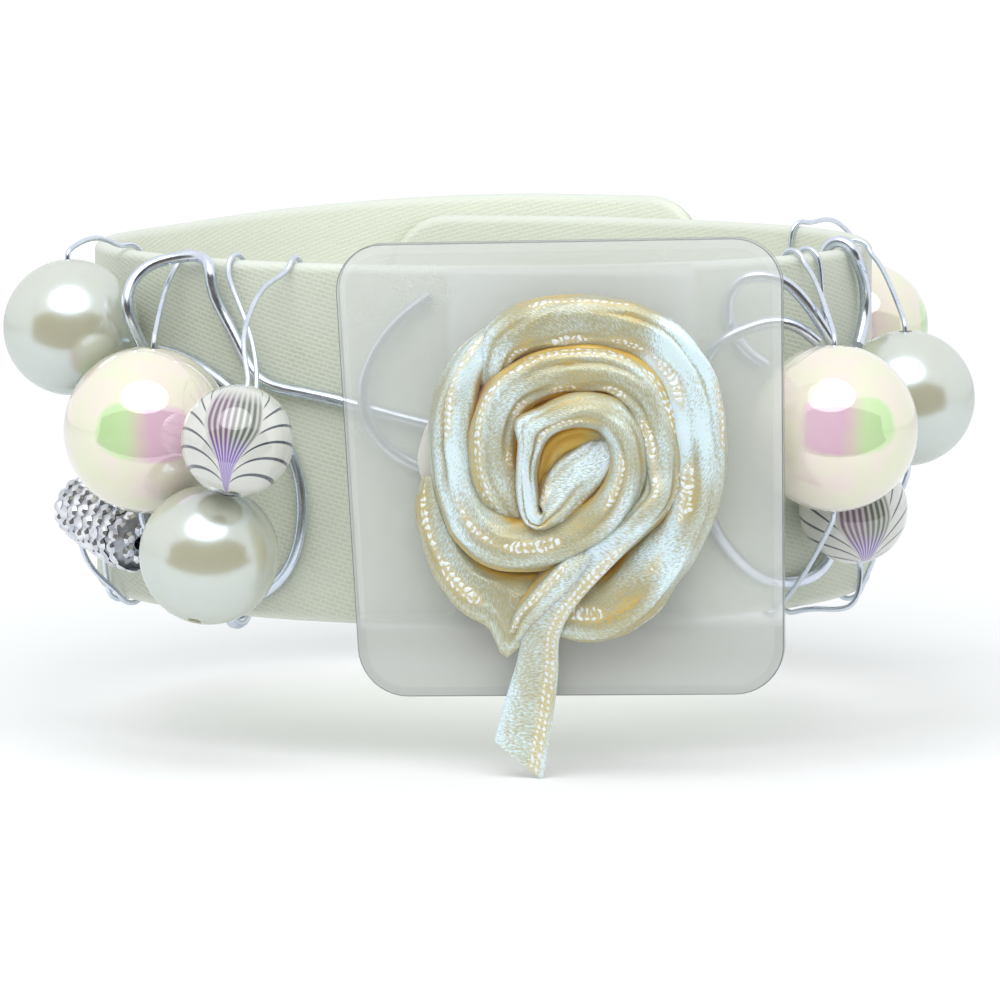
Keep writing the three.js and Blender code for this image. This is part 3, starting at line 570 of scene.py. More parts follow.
topped = add_node(tree, "MapRange", {"Value": axes.outputs["Z"], "From Min": 0.72, "From Max": 0.45,
                                     "To Min": 0.1, "To Max": 1})
feather = add_node(tree, "Math", {0: bundle, 1: topped}, operation="MULTIPLY")
strand = add_node(tree, "Math", {0: leant, 1: climb}, operation="DIVIDE")
fine = add_node(tree, "Math", {0: strand, 1: FINE_LINES * math.pi}, operation="MULTIPLY")
fine_wave = add_node(tree, "Math", {0: fine}, operation="SINE")
fine_line = add_node(tree, "MapRange", {"Value": fine_wave, "From Min": -0.8, "From Max": 0.5,
                                        "To Min": 0.3})
fine_mask = add_node(tree, "Math", {0: fine_line, 1: feather}, operation="MULTIPLY")
fading = add_node(tree, "Math", {0: aside, 1: -PETAL_ARCH}, operation="MULTIPLY")
left_over = add_node(tree, "Math", {0: fading}, operation="EXPONENT")
arch = add_node(tree, "Math", {0: 1, 1: left_over}, operation="SUBTRACT")
height = add_node(tree, "Math", {0: axes.outputs["Z"], 1: 1}, operation="ADD")
petal = add_node(tree, "Math", {0: height, 1: arch}, operation="DIVIDE")
broad = add_node(tree, "Math", {0: petal, 1: 2 * math.pi / PETAL_STEP}, operation="MULTIPLY")
broad_wave = add_node(tree, "Math", {0: broad}, operation="COSINE")
broad_line = add_node(tree, "MapRange", {"Value": broad_wave, "From Min": 0.8, "From Max": 0.93})
clear_of = add_node(tree, "MapRange", {"Value": inside, "From Min": 1.0, "From Max": 1.15})
broad_mask = add_node(tree, "Math", {0: broad_line, 1: clear_of}, operation="MULTIPLY")
low_down = add_node(tree, "MapRange", {"Value": axes.outputs["Z"], "From Min": -0.2, "From Max": -0.55})
sideways = add_node(tree, "MapRange", {"Value": strand, "From Min": -0.2, "From Max": 0.25})
bundle_tone = add_node(tree, "Mix", {0: sideways, 6: "#755a72", 7: "#636a5f"}, data_type="RGBA")
violet = add_node(tree, "Mix", {0: low_down, 6: bundle_tone, 7: "#8261b5"}, data_type="RGBA")
milky = add_node(tree, "TexNoise", {"Vector": own, "Scale": STRIPED / 2 / MILK_SIZE, "Detail": 2})
glass = add_node(tree, "Mix", {0: milky, 6: "#c4c4bd", 7: "#dcddd7"}, data_type="RGBA")
in_front = add_node(tree, "Mix", {0: fine_mask, 6: glass, 7: violet}, data_type="RGBA")
lined = add_node(tree, "Mix", {0: broad_mask, 6: in_front, 7: "#434956"}, data_type="RGBA")
set_shader(shader, base_color=lined, roughness=0.08, coat_weight=1, coat_roughness=0.02,
           specular_ior_level=0.7)
for side, turn in (("left", -3), ("right", 12)):
    add_ball("striped_bead_" + side, f"striped_{side}_spin", "striped_" + side, STRIPED, turn, striped)

# Crystal barrel: a silvered core set all over with rows of small cut stones, each a low cone with a
# flat table, so that it glitters.
CRYSTAL = 6 * MM
CRYSTAL_LENGTH = 10 * MM
CRYSTAL_END = 1.4 * MM
STONE = 1.15 * MM
STONE_STAND = 0.24 * MM
STONE_SEAT = 0.55 * STONE
STONE_TABLE = 0.31 * STONE
CORE_RADIUS = CRYSTAL / 2 - STONE_STAND
BARREL_TAPER = 0.16
SHOULDERS = 10
STONE_ROWS = 8
END_STONES = 6
GRIT = 0.4 * MM
GLINT_SIZE = 0.9 * MM
core_silver, tree, shader = new_material("silvered_core")
own = add_node(tree, "TexCoord").outputs["Object"]
grit = add_node(tree, "TexNoise", {"Vector": own, "Scale": 1 / GRIT, "Detail": 2})
tarnish = add_node(tree, "Mix", {0: grit, 6: "#8d9098", 7: "#c3c6ce"}, data_type="RGBA")
set_shader(shader, base_color=tarnish, metallic=0.9, roughness=0.3)
cut_stone, tree, shader = new_material("foiled_stone")
own = add_node(tree, "TexCoord").outputs["Object"]
# Painted glints: each cell runs from near white at its middle to grey at its edge.
cells = add_node(tree, "TexVoronoi", {"Vector": own, "Scale": 1 / GLINT_SIZE})
painted_glints = add_node(tree, "Mix", {0: cells, 6: "#fbfcff", 7: "#b4b8c4"}, data_type="RGBA")
set_shader(shader, base_color=painted_glints, metallic=0.85, roughness=0.05)


def barrel_radius(height):
    """The core's radius, fullest in the middle."""
    return CORE_RADIUS * (1 - BARREL_TAPER * (2 * height / CRYSTAL_LENGTH) ** 4)


barrel = [(BORE / 2, -CRYSTAL_LENGTH / 2), (CORE_RADIUS - CRYSTAL_END, -CRYSTAL_LENGTH / 2)]
for i in range(SHOULDERS + 1):
    height = (CRYSTAL_LENGTH / 2 - CRYSTAL_END / 2) * (2 * i / SHOULDERS - 1)
    barrel.append((barrel_radius(height), height))
barrel += [(CORE_RADIUS - CRYSTAL_END, CRYSTAL_LENGTH / 2), (BORE / 2, CRYSTAL_LENGTH / 2)]
bm = turned_bead(barrel, steps=48)
seats = []
for row in range(STONE_ROWS):
    height = (CRYSTAL_LENGTH / 2 - STONE_SEAT) * (2 * row / (STONE_ROWS - 1) - 1)
    radius = barrel_radius(height)
    count = round(2 * math.pi * radius / STONE)
    for i in range(count):
        turn = 2 * math.pi * (i + 0.5 * (row % 2)) / count
        seats.append(Matrix.Rotation(turn, 4, "Z") @ Matrix.Translation((radius, 0, height))
                     @ Matrix.Rotation(math.pi / 2, 4, "Y"))
for end in (-1, 1):
    for i in range(END_STONES):
        turn = Matrix.Rotation(2 * math.pi * i / END_STONES, 4, "Z")
        seats.append(turn @ Matrix.Translation((BORE / 2 + STONE_SEAT, 0, end * CRYSTAL_LENGTH / 2))
                     @ Matrix.Rotation(math.pi / 2 * (1 - end), 4, "Y"))
for seat in seats:
    made = bmesh.ops.create_cone(bm, cap_ends=True, segments=8, radius1=STONE_SEAT, radius2=STONE_TABLE,
                                 depth=STONE_STAND, matrix=seat @ Matrix.Rotation(math.pi / 8, 4, "Z")
                                 @ Matrix.Translation((0, 0, STONE_STAND / 2)))
    for face in {face for vert in made["verts"] for face in vert.link_faces}:
        face.material_index = 1
bmesh.ops.transform(bm, matrix=bead_place("crystal_spin"), verts=bm.verts)
crystal = new_object("crystal_barrel", bm, core_silver, cut_stone, sharp=15)
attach(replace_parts(crystal, "crystal_bead"), "crystal")

# Clear plate: a moulded tablet of clear plastic with round corners and a polished edge, a little
# hazy with handling. It is stuck to the front of the band, turned slightly to the left.
PLATE_TOP_WIDTH = 37 * MM
PLATE_BOTTOM_WIDTH = 35.2 * MM
PLATE_HEIGHT = 37.6 * MM
PLATE_THICKNESS = 1.2 * MM
PLATE_CORNER = 4 * MM
PLATE_EDGE = 0.1 * MM
PLATE_RIM = 0.7 * MM
PLATE_YAW = 9
PLATE_LEAN = 2
PLATE_ROLL = 1.7
HAZE = 0.02
HAZE_SIZE = 6 * MM
# Below the band's lower edge the plate is drawn greyer and less clear.
GREYER_BELOW = (-11.8 * MM, -13.4 * MM)
plate_low, plate_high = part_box("clear_plate")
plate_frame = (
    Matrix.Translation((plate_low + plate_high) / 2)
    @ Matrix.Rotation(math.radians(-PLATE_YAW), 4, "Z")
    @ Matrix.Rotation(math.radians(90 + PLATE_LEAN), 4, "X")
    @ Matrix.Rotation(math.radians(PLATE_ROLL), 4, "Z")
    @ Matrix.Translation((0, 0, -PLATE_THICKNESS / 2)))


def clear_material(name, color, alpha, low_color=None, low_alpha=None):
    """Clear plastic or gel: a see-through tint with a glossy skin, which can change down the plate."""
    made, tree, shader = new_material(name)
    place = add_node(tree, "TexCoord").outputs["Object"]
    cloud = add_node(tree, "TexNoise", {"Vector": place, "Scale": 1 / HAZE_SIZE, "Detail": 4})
    drift = add_node(tree, "MapRange", {"Value": cloud, "From Min": 0.3, "From Max": 0.7, "To Min": -HAZE,
                                        "To Max": HAZE})
    if low_color:
        down = add_node(tree, "Attribute", attribute_name="down").outputs["Fac"]
        color = add_node(tree, "Mix", {0: down, 6: color, 7: low_color}, data_type="RGBA")
        alpha = add_node(tree, "MapRange", {"Value": down, "To Min": alpha, "To Max": low_alpha})
    veil = add_node(tree, "Math", {0: alpha, 1: drift}, operation="ADD")
    set_shader(shader, base_color=color, alpha=veil, roughness=0.12, ior=1.49, specular_ior_level=0.5)
    return made


# The second colour and alpha are for the plate below the band, drawn greyer and less clear.
clear_panel = clear_material("clear_plastic_panel", "#d5d8d5", 0.36, "#c0c2bd", 0.74)
# The rim band and side walls get their own tint, a touch lighter above the band as painted light in the
# polished edge.
lit_rim_plastic = clear_material("clear_plastic_rim_painted_light", "#dadddb", 0.38, "#b9bbb7", 0.75)
# The thin bevel is painted dark, as painted shade along the plate's edge.
shaded_edge_plastic = clear_material("clear_plastic_edge_painted_shade", "#787d7d", 0.8)
bm = bmesh.new()
half = PLATE_HEIGHT / 2
corners = [(-PLATE_BOTTOM_WIDTH / 2, -half), (PLATE_BOTTOM_WIDTH / 2, -half),
           (PLATE_TOP_WIDTH / 2, half), (-PLATE_TOP_WIDTH / 2, half)]
bm.faces.new([bm.verts.new((x, y, 0)) for x, y in corners])
bmesh.ops.bevel(bm, geom=bm.verts[:], offset=PLATE_CORNER, segments=10, profile=0.5, affect="VERTICES",
                material=-1)
raised = bmesh.ops.extrude_face_region(bm, geom=bm.faces[:])
tops = [item for item in raised["geom"] if isinstance(item, bmesh.types.BMVert)]
bmesh.ops.translate(bm, vec=(0, 0, PLATE_THICKNESS), verts=tops)
bmesh.ops.recalc_face_normals(bm, faces=bm.faces)
sides = [face for face in bm.faces if abs(face.normal.z) < 0.5]
for face in sides:
    face.material_index = 1
rims = [edge for edge in bm.edges if len({abs(f.normal.z) > 0.5 for f in edge.link_faces}) == 2]
polished = bmesh.ops.bevel(bm, geom=rims, offset=PLATE_EDGE, segments=3, profile=0.5, affect="EDGES",
                           material=-1)
for face in polished["faces"]:
    face.material_index = 2
panels = [face for face in bm.faces if abs(face.normal.z) > 0.999 and len(face.verts) > 8]
inset = bmesh.ops.inset_individual(bm, faces=panels, thickness=PLATE_RIM)
for face in inset["faces"]:
    face.material_index = 1
for level in GREYER_BELOW:
    bmesh.ops.bisect_plane(bm, geom=bm.verts[:] + bm.edges[:] + bm.faces[:], plane_no=(0, 1, 0),
                           plane_co=(0, level, 0))
down = bm.verts.layers.float.new("down")
for vert in bm.verts:
    vert[down] = smooth((GREYER_BELOW[0] - vert.co.y) / (GREYER_BELOW[0] - GREYER_BELOW[1]))
bmesh.ops.transform(bm, matrix=plate_frame, verts=bm.verts)
plate = new_object("clear_plate_moulding", bm, clear_panel, lit_rim_plastic, shaded_edge_plastic, sharp=50)
plate.visible_shadow = False
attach(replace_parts(plate, "clear_plate"), "front")

# Adhesive bed: a block of soft clear mounting gel, pressed between band and plate so that it fills
# the curve of the band. Its cut edges are slightly rounded.
BED_ROUND = 0.5 * MM
WELD = 0.005 * MM
gel = clear_material("clear_mounting_gel", "#e7e9e8", 0.42)
bm = bmesh.new()
bm.from_mesh(frame["nodes"]["adhesive_bed"].data)
bmesh.ops.remove_doubles(bm, verts=bm.verts, dist=WELD)
bmesh.ops.dissolve_limit(bm, angle_limit=math.radians(0.5), verts=bm.verts, edges=bm.edges)
creases = [edge for edge in bm.edges if edge.calc_face_angle(0) > math.radians(40)]
bmesh.ops.bevel(bm, geom=creases, offset=BED_ROUND, segments=3, profile=0.5, affect="EDGES", material=-1)
bed = new_object("adhesive_bed_gel", bm, gel, sharp=50)
bed.visible_shadow = False
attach(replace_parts(bed, "adhesive_bed"), "front")

# Glue: a flat lump of hot glue that holds the rose to the plate. It sets cloudy white, and a little
# is squeezed out beside the rose.
GLUE_LUMP = 0.35 * MM
GLUE_LUMP_SIZE = 3 * MM
glue_set = clear_material("set_hot_glue", "#e9e8e0", 0.72)
bm = bmesh.new()
bm.from_mesh(frame["nodes"]["glue_dab"].data)
bmesh.ops.remove_doubles(bm, verts=bm.verts, dist=WELD)
bmesh.ops.subdivide_edges(bm, edges=bm.edges, cuts=1, use_grid_fill=True)
bmesh.ops.triangulate(bm, faces=bm.faces)
bmesh.ops.smooth_vert(bm, verts=bm.verts, factor=0.5, use_axis_x=True, use_axis_y=True, use_axis_z=True)
for vert in bm.verts:
    vert.co += vert.normal * GLUE_LUMP * noise.noise(vert.co / GLUE_LUMP_SIZE)
dab = new_object("glue_lump", bm, glue_set, sharp=70)
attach(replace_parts(dab, "glue_dab"), "front")

# Ribbon rose: a 10 mm satin ribbon folded along its length and wound clockwise on the glue. The
# inner turns run out into a flat tail across the front, with a short strand beside it, and a second
# length wraps round the outside.
ROSE_STEP = 0.45
ROSE_SIDES = 72
ROPE_HEIGHT = 0.42
ROSE_LEAN = 0.13
PLEAT = 0.2
FINE_PLEAT = 0.05
FINE_TWIST = -9
ROUGHNESS = 0.14
# Painted shade: golden colour low on each rope, in its creases and at its tucked start.
HOLLOW_SHADE = (0.78, 0.25)
OUTER_HOLLOW_SHADE = 0.25
TAIL_HALF_THICKNESS = 0.3
TAIL_CUT = 0.48
TAIL_SHINE = 0.4
FOLD_SPREAD = 0.9
EDGE_FAR = 2
KNOTTED_FOLDS = 2
KNOT_OFFSET = 1.6
KNOT_WEAR = (0.25, 1.6)
KNOT_RUN = 5
PLEAT_DETAIL = 1.5
PLEAT_RUN = 14
FINE_DETAIL = 4.5
FINE_RUN = 9
CREASE_LIFE = 0.55
CREASE_RUN = 7
CREASE_SHADE = 0.45
START_SHADE = 0.8
START_FADE = 3
# Painted shine: the ribbon is painted whiter where it runs up and down the plate, and the tail evenly.
SHINE_FROM = 0.3
SHINE_SPREAD = 0.5
SHINE_RUN = 6
SHINE_RANGE = (0.7, 0.6)
ROPE_SQUARE = 0.85
ROUGHNESS_SIZE = 2.4
TAIL_SMOOTHNESS = 0.6
TAIL_SELVAGE = 0.6
TAIL_FLATTENS = 3
TAIL_CUT_REACH = 5
CRUMPLE_SEED = 4
# Each row: across the plate, up it and out from its back, then half the folded width, in mm
HEART = [
    (-1.9, -1.6, 4.0, 1.0), (-1.6, 1.0, 4.3, 1.4), (-0.4, 2.9, 4.4, 1.6), (1.7, 3.4, 4.3, 1.6),
    (3.7, 2.7, 4.3, 1.5), (2.5, 1.3, 4.8, 2.0), (0.4, -0.3, 5.1, 2.2), (-1.2, -2.3, 5.5, 1.7),
    (-2.6, -3.0, 5.9, 1.0), (-3.1, -0.6, 6.1, 0.9), (-2.8, 2.2, 6.2, 0.95), (-1.7, 4.4, 6.2, 1.2),
    (0.2, 5.5, 6.1, 1.45), (2.2, 5.6, 6.0, 1.55), (3.9, 4.9, 5.9, 1.6), (5.0, 2.9, 5.9, 1.65),
    (5.0, 0.4, 5.8, 1.7), (3.8, -2.2, 5.6, 1.8), (1.7, -4.1, 5.3, 1.9), (-1.4, -5.3, 5.1, 2.1),
    (-4.7, -5.5, 5.0, 2.2), (-7.2, -4.1, 4.8, 2.2), (-8.5, -1.7, 4.7, 1.95), (-9.1, 1.2, 4.6, 1.75),
    (-9.2, 4.1, 4.5, 1.65), (-8.6, 7.1, 4.3, 1.5), (-7.2, 9.8, 3.9, 1.2), (-5.7, 11.5, 3.0, 0.8),
]
MIDDLE = [
    (-4.1, -3.6, 3.4, 1.0), (-5.2, -1.4, 4.6, 1.8), (-5.9, 1.1, 5.0, 2.0), (-5.7, 3.8, 5.1, 2.0),
    (-4.5, 6.6, 5.2, 2.0), (-2.1, 8.2, 5.2, 2.1), (0.9, 8.7, 5.2, 2.2), (4.0, 8.4, 5.2, 2.1),
    (6.3, 6.8, 5.2, 2.0), (7.55, 4.1, 5.2, 1.9), (8.0, 1.1, 5.3, 1.8), (7.8, -1.1, 5.6, 1.6),
]
TAIL = [
    (6.6, -3.0, 6.1, 1.4), (4.7, -5.2, 6.7, 1.25), (2.3, -7.7, 7.0, 1.2), (0.1, -10.1, 6.8, 1.25),
    (-1.5, -12.6, 5.9, 1.5), (-2.3, -16.1, 4.3, 1.8), (-3.2, -19.7, 3.4, 2.1), (-4.3, -23.8, 3.0, 2.35),
]
WRAP = [
    (-4.6, 6.2, 1.9, 0.8), (-5.8, 8.2, 3.2, 1.4), (-5.0, 10.6, 4.2, 1.8), (-3.2, 12.0, 4.5, 2.1),
    (-0.2, 12.6, 4.6, 2.2), (3.7, 12.5, 4.6, 2.2), (7.3, 11.3, 4.5, 2.2), (9.7, 8.7, 4.5, 2.3),
    (10.7, 5.5, 4.5, 2.3), (10.9, 1.9, 4.5, 2.3), (10.5, -1.6, 4.5, 2.3), (9.0, -5.0, 4.6, 2.4),
    (6.8, -7.8, 4.6, 2.6), (4.6, -10.0, 4.5, 2.7), (2.1, -11.0, 4.3, 2.8), (-0.75, -10.8, 4.1, 2.6),
    (-4.6, -10.6, 3.9, 2.5), (-7.4, -9.5, 3.9, 2.2), (-9.5, -7.3, 3.8, 2.0), (-10.7, -4.6, 3.6, 1.7),
    (-11.2, -2.2, 3.3, 1.3), (-11.2, -0.3, 2.9, 0.7),
]
UNDER = [
    (7.0, -0.6, 3.4, 0.9), (5.4, -3.2, 4.2, 1.3), (2.9, -5.5, 4.9, 1.5), (0.4, -7.6, 5.4, 1.5),
    (-1.6, -9.4, 5.3, 1.35), (-3.2, -11.1, 4.8, 1.15), (-4.3, -12.7, 3.9, 0.9),
]
WRAP_FOLD = (-4.6, -10.6, 1.1)
HEART_FOLD = (-1.9, 3.8, 0.5)
HEART_TUCKED = 9
HEART_OPEN = 0.62
noise.seed_set(CRUMPLE_SEED)


def through(points, share):
    """A row at a share of the way along a smooth curve through rows."""
    spans = len(points) - 1
    i = min(int(share * spans), spans - 1)
    t = share * spans - i
    a, b, c, d = (points[min(max(k, 0), spans)] for k in (i - 1, i, i + 1, i + 2))
    return [0.5 * (2 * q + (r - p) * t + (2 * p - 5 * q + 4 * r - s) * t ** 2
                   + (3 * q - p - 3 * r + s) * t ** 3) for p, q, r, s in zip(a, b, c, d)]


def stations(rows, flat_rows=0):
    """Even steps along the rows: middle, half width, half height, flatness and how far it is cut."""
    run = sum((Vector(b[:3]) - Vector(a[:3])).length for a, b in zip(rows, rows[1:]))
    count = round(run / ROSE_STEP)
    flat_from = 1 - flat_rows / (len(rows) - 1)
    made = []
    for i in range(count + 1):
        share = i / count
        u, v, out, half_width = through(rows, share)
        flat = smooth((share - flat_from) / (1 - flat_from) * TAIL_FLATTENS) if flat_rows else 0
        half_height = ROPE_HEIGHT * out * (1 - flat) + TAIL_HALF_THICKNESS * flat
        cut = smooth((share - 1) * TAIL_CUT_REACH + 1) if flat_rows else 0
        made.append((Vector((u, v, out)), half_width, half_height, flat, cut))
    return made


def chance_along(along, run, row, seed):
    """A smooth chance along the ribbon that changes over a run in mm."""
    return noise.noise(Vector((along / run, row, seed)))


def chance_round(turn, detail, along):
    """A smooth chance round the ribbon, with more folds for more detail."""
    return noise.noise(Vector((detail * math.cos(turn), detail * math.sin(turn), along)))


def squarer(value):
    """A sine or cosine that makes a circle a little squarer."""
    return math.copysign(abs(value) ** ROPE_SQUARE, value)


def ribbon_rings(line, creases, twist, seed, flare, gleam, fold, tucked_start, open_from):
    """Rings of folded ribbon round a line of stations, pleated along its length, and its length.

    Gleam is how much painted shine it gets from start to end.
    """
    rings = []
    along = 0
    for i, (middle, half_width, half_height, flat, cut) in enumerate(line):
        before = line[max(i - 1, 0)][0]
        after = line[min(i + 1, len(line) - 1)][0]
        way = (after - before).normalized()
        outward = Vector((-way.y, way.x, 0)).normalized()
        up = way.cross(outward)
        along += (middle - before).length
        perimeter = math.pi * (half_width + half_height)
        # Painted shine, by how upright the ribbon runs here, scaled along each strand by gleam.
        shine = smooth((abs(way.y) - SHINE_FROM) / SHINE_SPREAD)
        shine *= SHINE_RANGE[0] + SHINE_RANGE[1] * chance_along(along, SHINE_RUN, seed, 4)
        shine *= through([(amount,) for amount in gleam], i / (len(line) - 1))[0]
        shine = shine * (1 - flat) + TAIL_SHINE * flat
        start_shade = START_SHADE * smooth((tucked_start - along) / START_FADE)
        corner = 0
        if fold:
            corner = fold[2] * math.exp(-((middle.xy - Vector(fold[:2])).length / FOLD_SPREAD) ** 2)
        ring = []
        for j in range(ROSE_SIDES):
            turn = 2 * math.pi * j / ROSE_SIDES - math.pi / 2
            pleat = chance_round(turn - math.radians(twist * along), PLEAT_DETAIL, seed + along / PLEAT_RUN)
            ridge = chance_round(turn - math.radians(FINE_TWIST * along), FINE_DETAIL,
                                 3 * seed + along / FINE_RUN)
            swell = 1 + (PLEAT * pleat + FINE_PLEAT * ridge) * (1 - flat)
            dip = 0
            edge = EDGE_FAR
            for order, (start, depth, width) in enumerate(creases):
                apart = (math.degrees(turn) - start - twist * along + 180) % 360 - 180
                live = smooth(CREASE_LIFE + chance_along(along, CREASE_RUN, 3.1 * order, seed))
                groove = live * math.exp(-(apart / width) ** 2) * (1 - flat)
                swell -= depth * groove
                dip = max(dip, groove)
                wear = chance_along(along, KNOT_RUN, 2.3 * order, seed + 7)
                plain = max(smooth(KNOT_WEAR[0] - KNOT_WEAR[1] * wear), flat, order >= KNOTTED_FOLDS)
                edge = min(edge, abs(apart - KNOT_OFFSET * width) * perimeter / 360 + EDGE_FAR * plain)
            x = squarer(math.cos(turn)) * half_width * swell
            z = squarer(math.sin(turn)) * half_height * swell
            x *= 1 + flare * max(0, -math.sin(turn)) * (1 - flat)
            edge = min(edge, abs(x - TAIL_SELVAGE * half_width) + EDGE_FAR * (1 - flat))
            place = middle + outward * (x + corner * (1 + math.cos(turn))) + up * z
            place += way * (TAIL_CUT * cut * x)
            crumple = noise.noise_vector(place / ROUGHNESS_SIZE + Vector((0, 0, seed)))
            place += crumple * ROUGHNESS * (1 - TAIL_SMOOTHNESS * flat)
            # Painted shade, golden, low on the rope, in its creases and at its start; less on an open outer
            # side.
            hollow_shade = smooth((HOLLOW_SHADE[0] - z / half_height) / (HOLLOW_SHADE[0] - HOLLOW_SHADE[1])) * (1 - flat)
            if i > open_from * len(line) and math.cos(turn) > 0:
                hollow_shade *= OUTER_HOLLOW_SHADE
            fold_shade = min(1, hollow_shade + CREASE_SHADE * dip + start_shade)
            weave = (along, perimeter * j / ROSE_SIDES, fold_shade - shine * (1 - fold_shade))
            place.x += ROSE_LEAN * place.z * (1 - flat)
            ring.append((plate_frame @ (place * MM), weave, edge))
        rings.append(ring)
    return rings, along * MM


# Ribbon satin: painted shine makes the floats cool white where the ribbon runs up and down, and cream
# where it lies across. The folds are painted golden as shade where cream faces cream, and the woven edge
# is a row of small knots, painted white as highlights, with painted golden shade beside them.
FLECK_WIDTH = 0.1
FLECK_LENGTH = 0.3
FLECK_SLANT = -35
FLECK_CONTRAST = 0.38
FLECK_DEPTH = 0.3
PATCH_LENGTH = 5
PATCH_WIDTH = 2.22
PATCH_CONTRAST = 0.8
TONE_SPAN = 0.58
TONE_START = 0.36
KNOT_SPACING = 0.56
KNOT_LENGTH = 0.2
KNOT_WIDTH = 0.15
KNOT_SCATTER = 0.5
KNOT_STRAY = 0.8
KNOT_STRAY_RUN = 2 / 3
KNOT_RELIEF = 0.1 * MM
satin, tree, shader = new_material("cream_ribbon_satin")
thread = add_node(tree, "Attribute", attribute_name="thread").outputs["Vector"]
from_edge = add_node(tree, "Attribute", attribute_name="side").outputs["Fac"]
parts = add_node(tree, "SeparateXYZ", {0: thread})
slanted = add_node(tree, "Mapping", {0: thread, "Rotation": (0, 0, math.radians(FLECK_SLANT))})
drawn_out = add_node(tree, "Mapping", {0: slanted, "Scale": (1 / FLECK_LENGTH, 1 / FLECK_WIDTH, 0)})
threads = add_node(tree, "TexNoise", {"Vector": drawn_out, "Scale": 1, "Detail": 1, "Roughness": 0.5})
flecks = add_node(tree, "MapRange", {"Value": threads, "From Min": 0.35, "From Max": 0.72})
# Painted sheen in broad patches along the ribbon, partly random tone.
broad = add_node(tree, "Mapping", {0: thread, "Scale": (1 / PATCH_LENGTH, 1 / PATCH_WIDTH, 0)})
sheen_patches = add_node(tree, "TexNoise", {"Vector": broad, "Scale": 1, "Detail": 2})
drift = add_node(tree, "Math", {0: sheen_patches, 1: PATCH_CONTRAST, 2: -PATCH_CONTRAST / 2},
                 operation="MULTIPLY_ADD")
# The tone runs from painted shine, cool white, through cream to painted shade, golden.
tone = add_node(tree, "Math", {0: parts.outputs["Z"], 1: TONE_SPAN, 2: TONE_START},
                operation="MULTIPLY_ADD")
mottled = add_node(tree, "Math", {0: tone, 1: drift}, operation="ADD")
grained = add_node(tree, "Math", {0: flecks, 1: FLECK_CONTRAST, 2: mottled}, operation="MULTIPLY_ADD")
shine_and_shade_ramp = add_node(tree, "ValToRGB", {0: grained})
set_ramp(shine_and_shade_ramp, (0.1, "#e2f6ff"), (0.28, "#c9d3cd"), (0.44, "#bfbfa8"), (0.62, "#b0ac8b"),
         (0.82, "#cfb772"), (1, "#dcb252"))
stray = add_node(tree, "TexNoise", {"Vector": thread, "Scale": 1 / KNOT_STRAY_RUN, "Detail": 1})
spacing = add_node(tree, "Math", {0: stray, 1: KNOT_STRAY, 2: parts.outputs["X"]},
                   operation="MULTIPLY_ADD")
counted = add_node(tree, "Math", {0: spacing, 1: 1 / KNOT_SPACING}, operation="MULTIPLY")
beat = add_node(tree, "Math", {0: counted}, operation="FRACT")
ahead = add_node(tree, "Math", {0: beat, 1: KNOT_SPACING / KNOT_LENGTH,
                                2: -0.5 * KNOT_SPACING / KNOT_LENGTH}, operation="MULTIPLY_ADD")
swung = add_node(tree, "Math", {0: stray, 1: KNOT_SCATTER}, operation="MULTIPLY")
edge_line = add_node(tree, "Math", {0: from_edge, 1: swung}, operation="SUBTRACT")
beside = add_node(tree, "Math", {0: edge_line, 1: 1 / KNOT_WIDTH}, operation="MULTIPLY")
off_knot = add_node(tree, "CombineXYZ", {0: ahead, 1: beside})
away = add_node(tree, "VectorMath", {0: off_knot}, operation="LENGTH")
knots = add_node(tree, "MapRange", {"Value": away, "From Min": 1.15, "From Max": 0.6})
# The woven edge's knots are real; their white is a painted highlight and the golden ditch beside them
# painted shade.
knot_ditch_shade = add_node(tree, "MapRange", {"Value": from_edge, "From Min": 0.75, "From Max": 0.3,
                                    "To Max": 0.55})
with_ditch_shade = add_node(tree, "Mix", {0: knot_ditch_shade, 6: shine_and_shade_ramp, 7: "#d9c383"}, data_type="RGBA")
knotted = add_node(tree, "Mix", {0: knots, 6: with_ditch_shade, 7: "#f1f8fa"}, data_type="RGBA")
relief = add_node(tree, "Math", {0: flecks, 1: -FLECK_DEPTH, 2: knots}, operation="MULTIPLY_ADD")
raised = add_node(tree, "Bump", {"Strength": 0.7, "Distance": KNOT_RELIEF, "Height": relief})
set_shader(shader, base_color=knotted, normal=raised, metallic=0.22, roughness=0.34, sheen_weight=0.4,
           sheen_roughness=0.35, sheen_tint="#cfe6ff", subsurface_weight=0.5,
           subsurface_radius=(1, 0.8, 0.4), subsurface_scale=1.6 * MM)


def add_ribbon(name, line, creases, twist, seed, flare, gleam, fold=None, tucked_start=0,
               open_from=1):
    """One length of the rose, lying on the pieces that it rests on."""
    rings, length = ribbon_rings(line, creases, twist, seed, flare, gleam, fold, tucked_start, open_from)
    ribbon = new_object(name, loft(rings), satin, sharp=75)
    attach(ribbon, "front")
    return ribbon


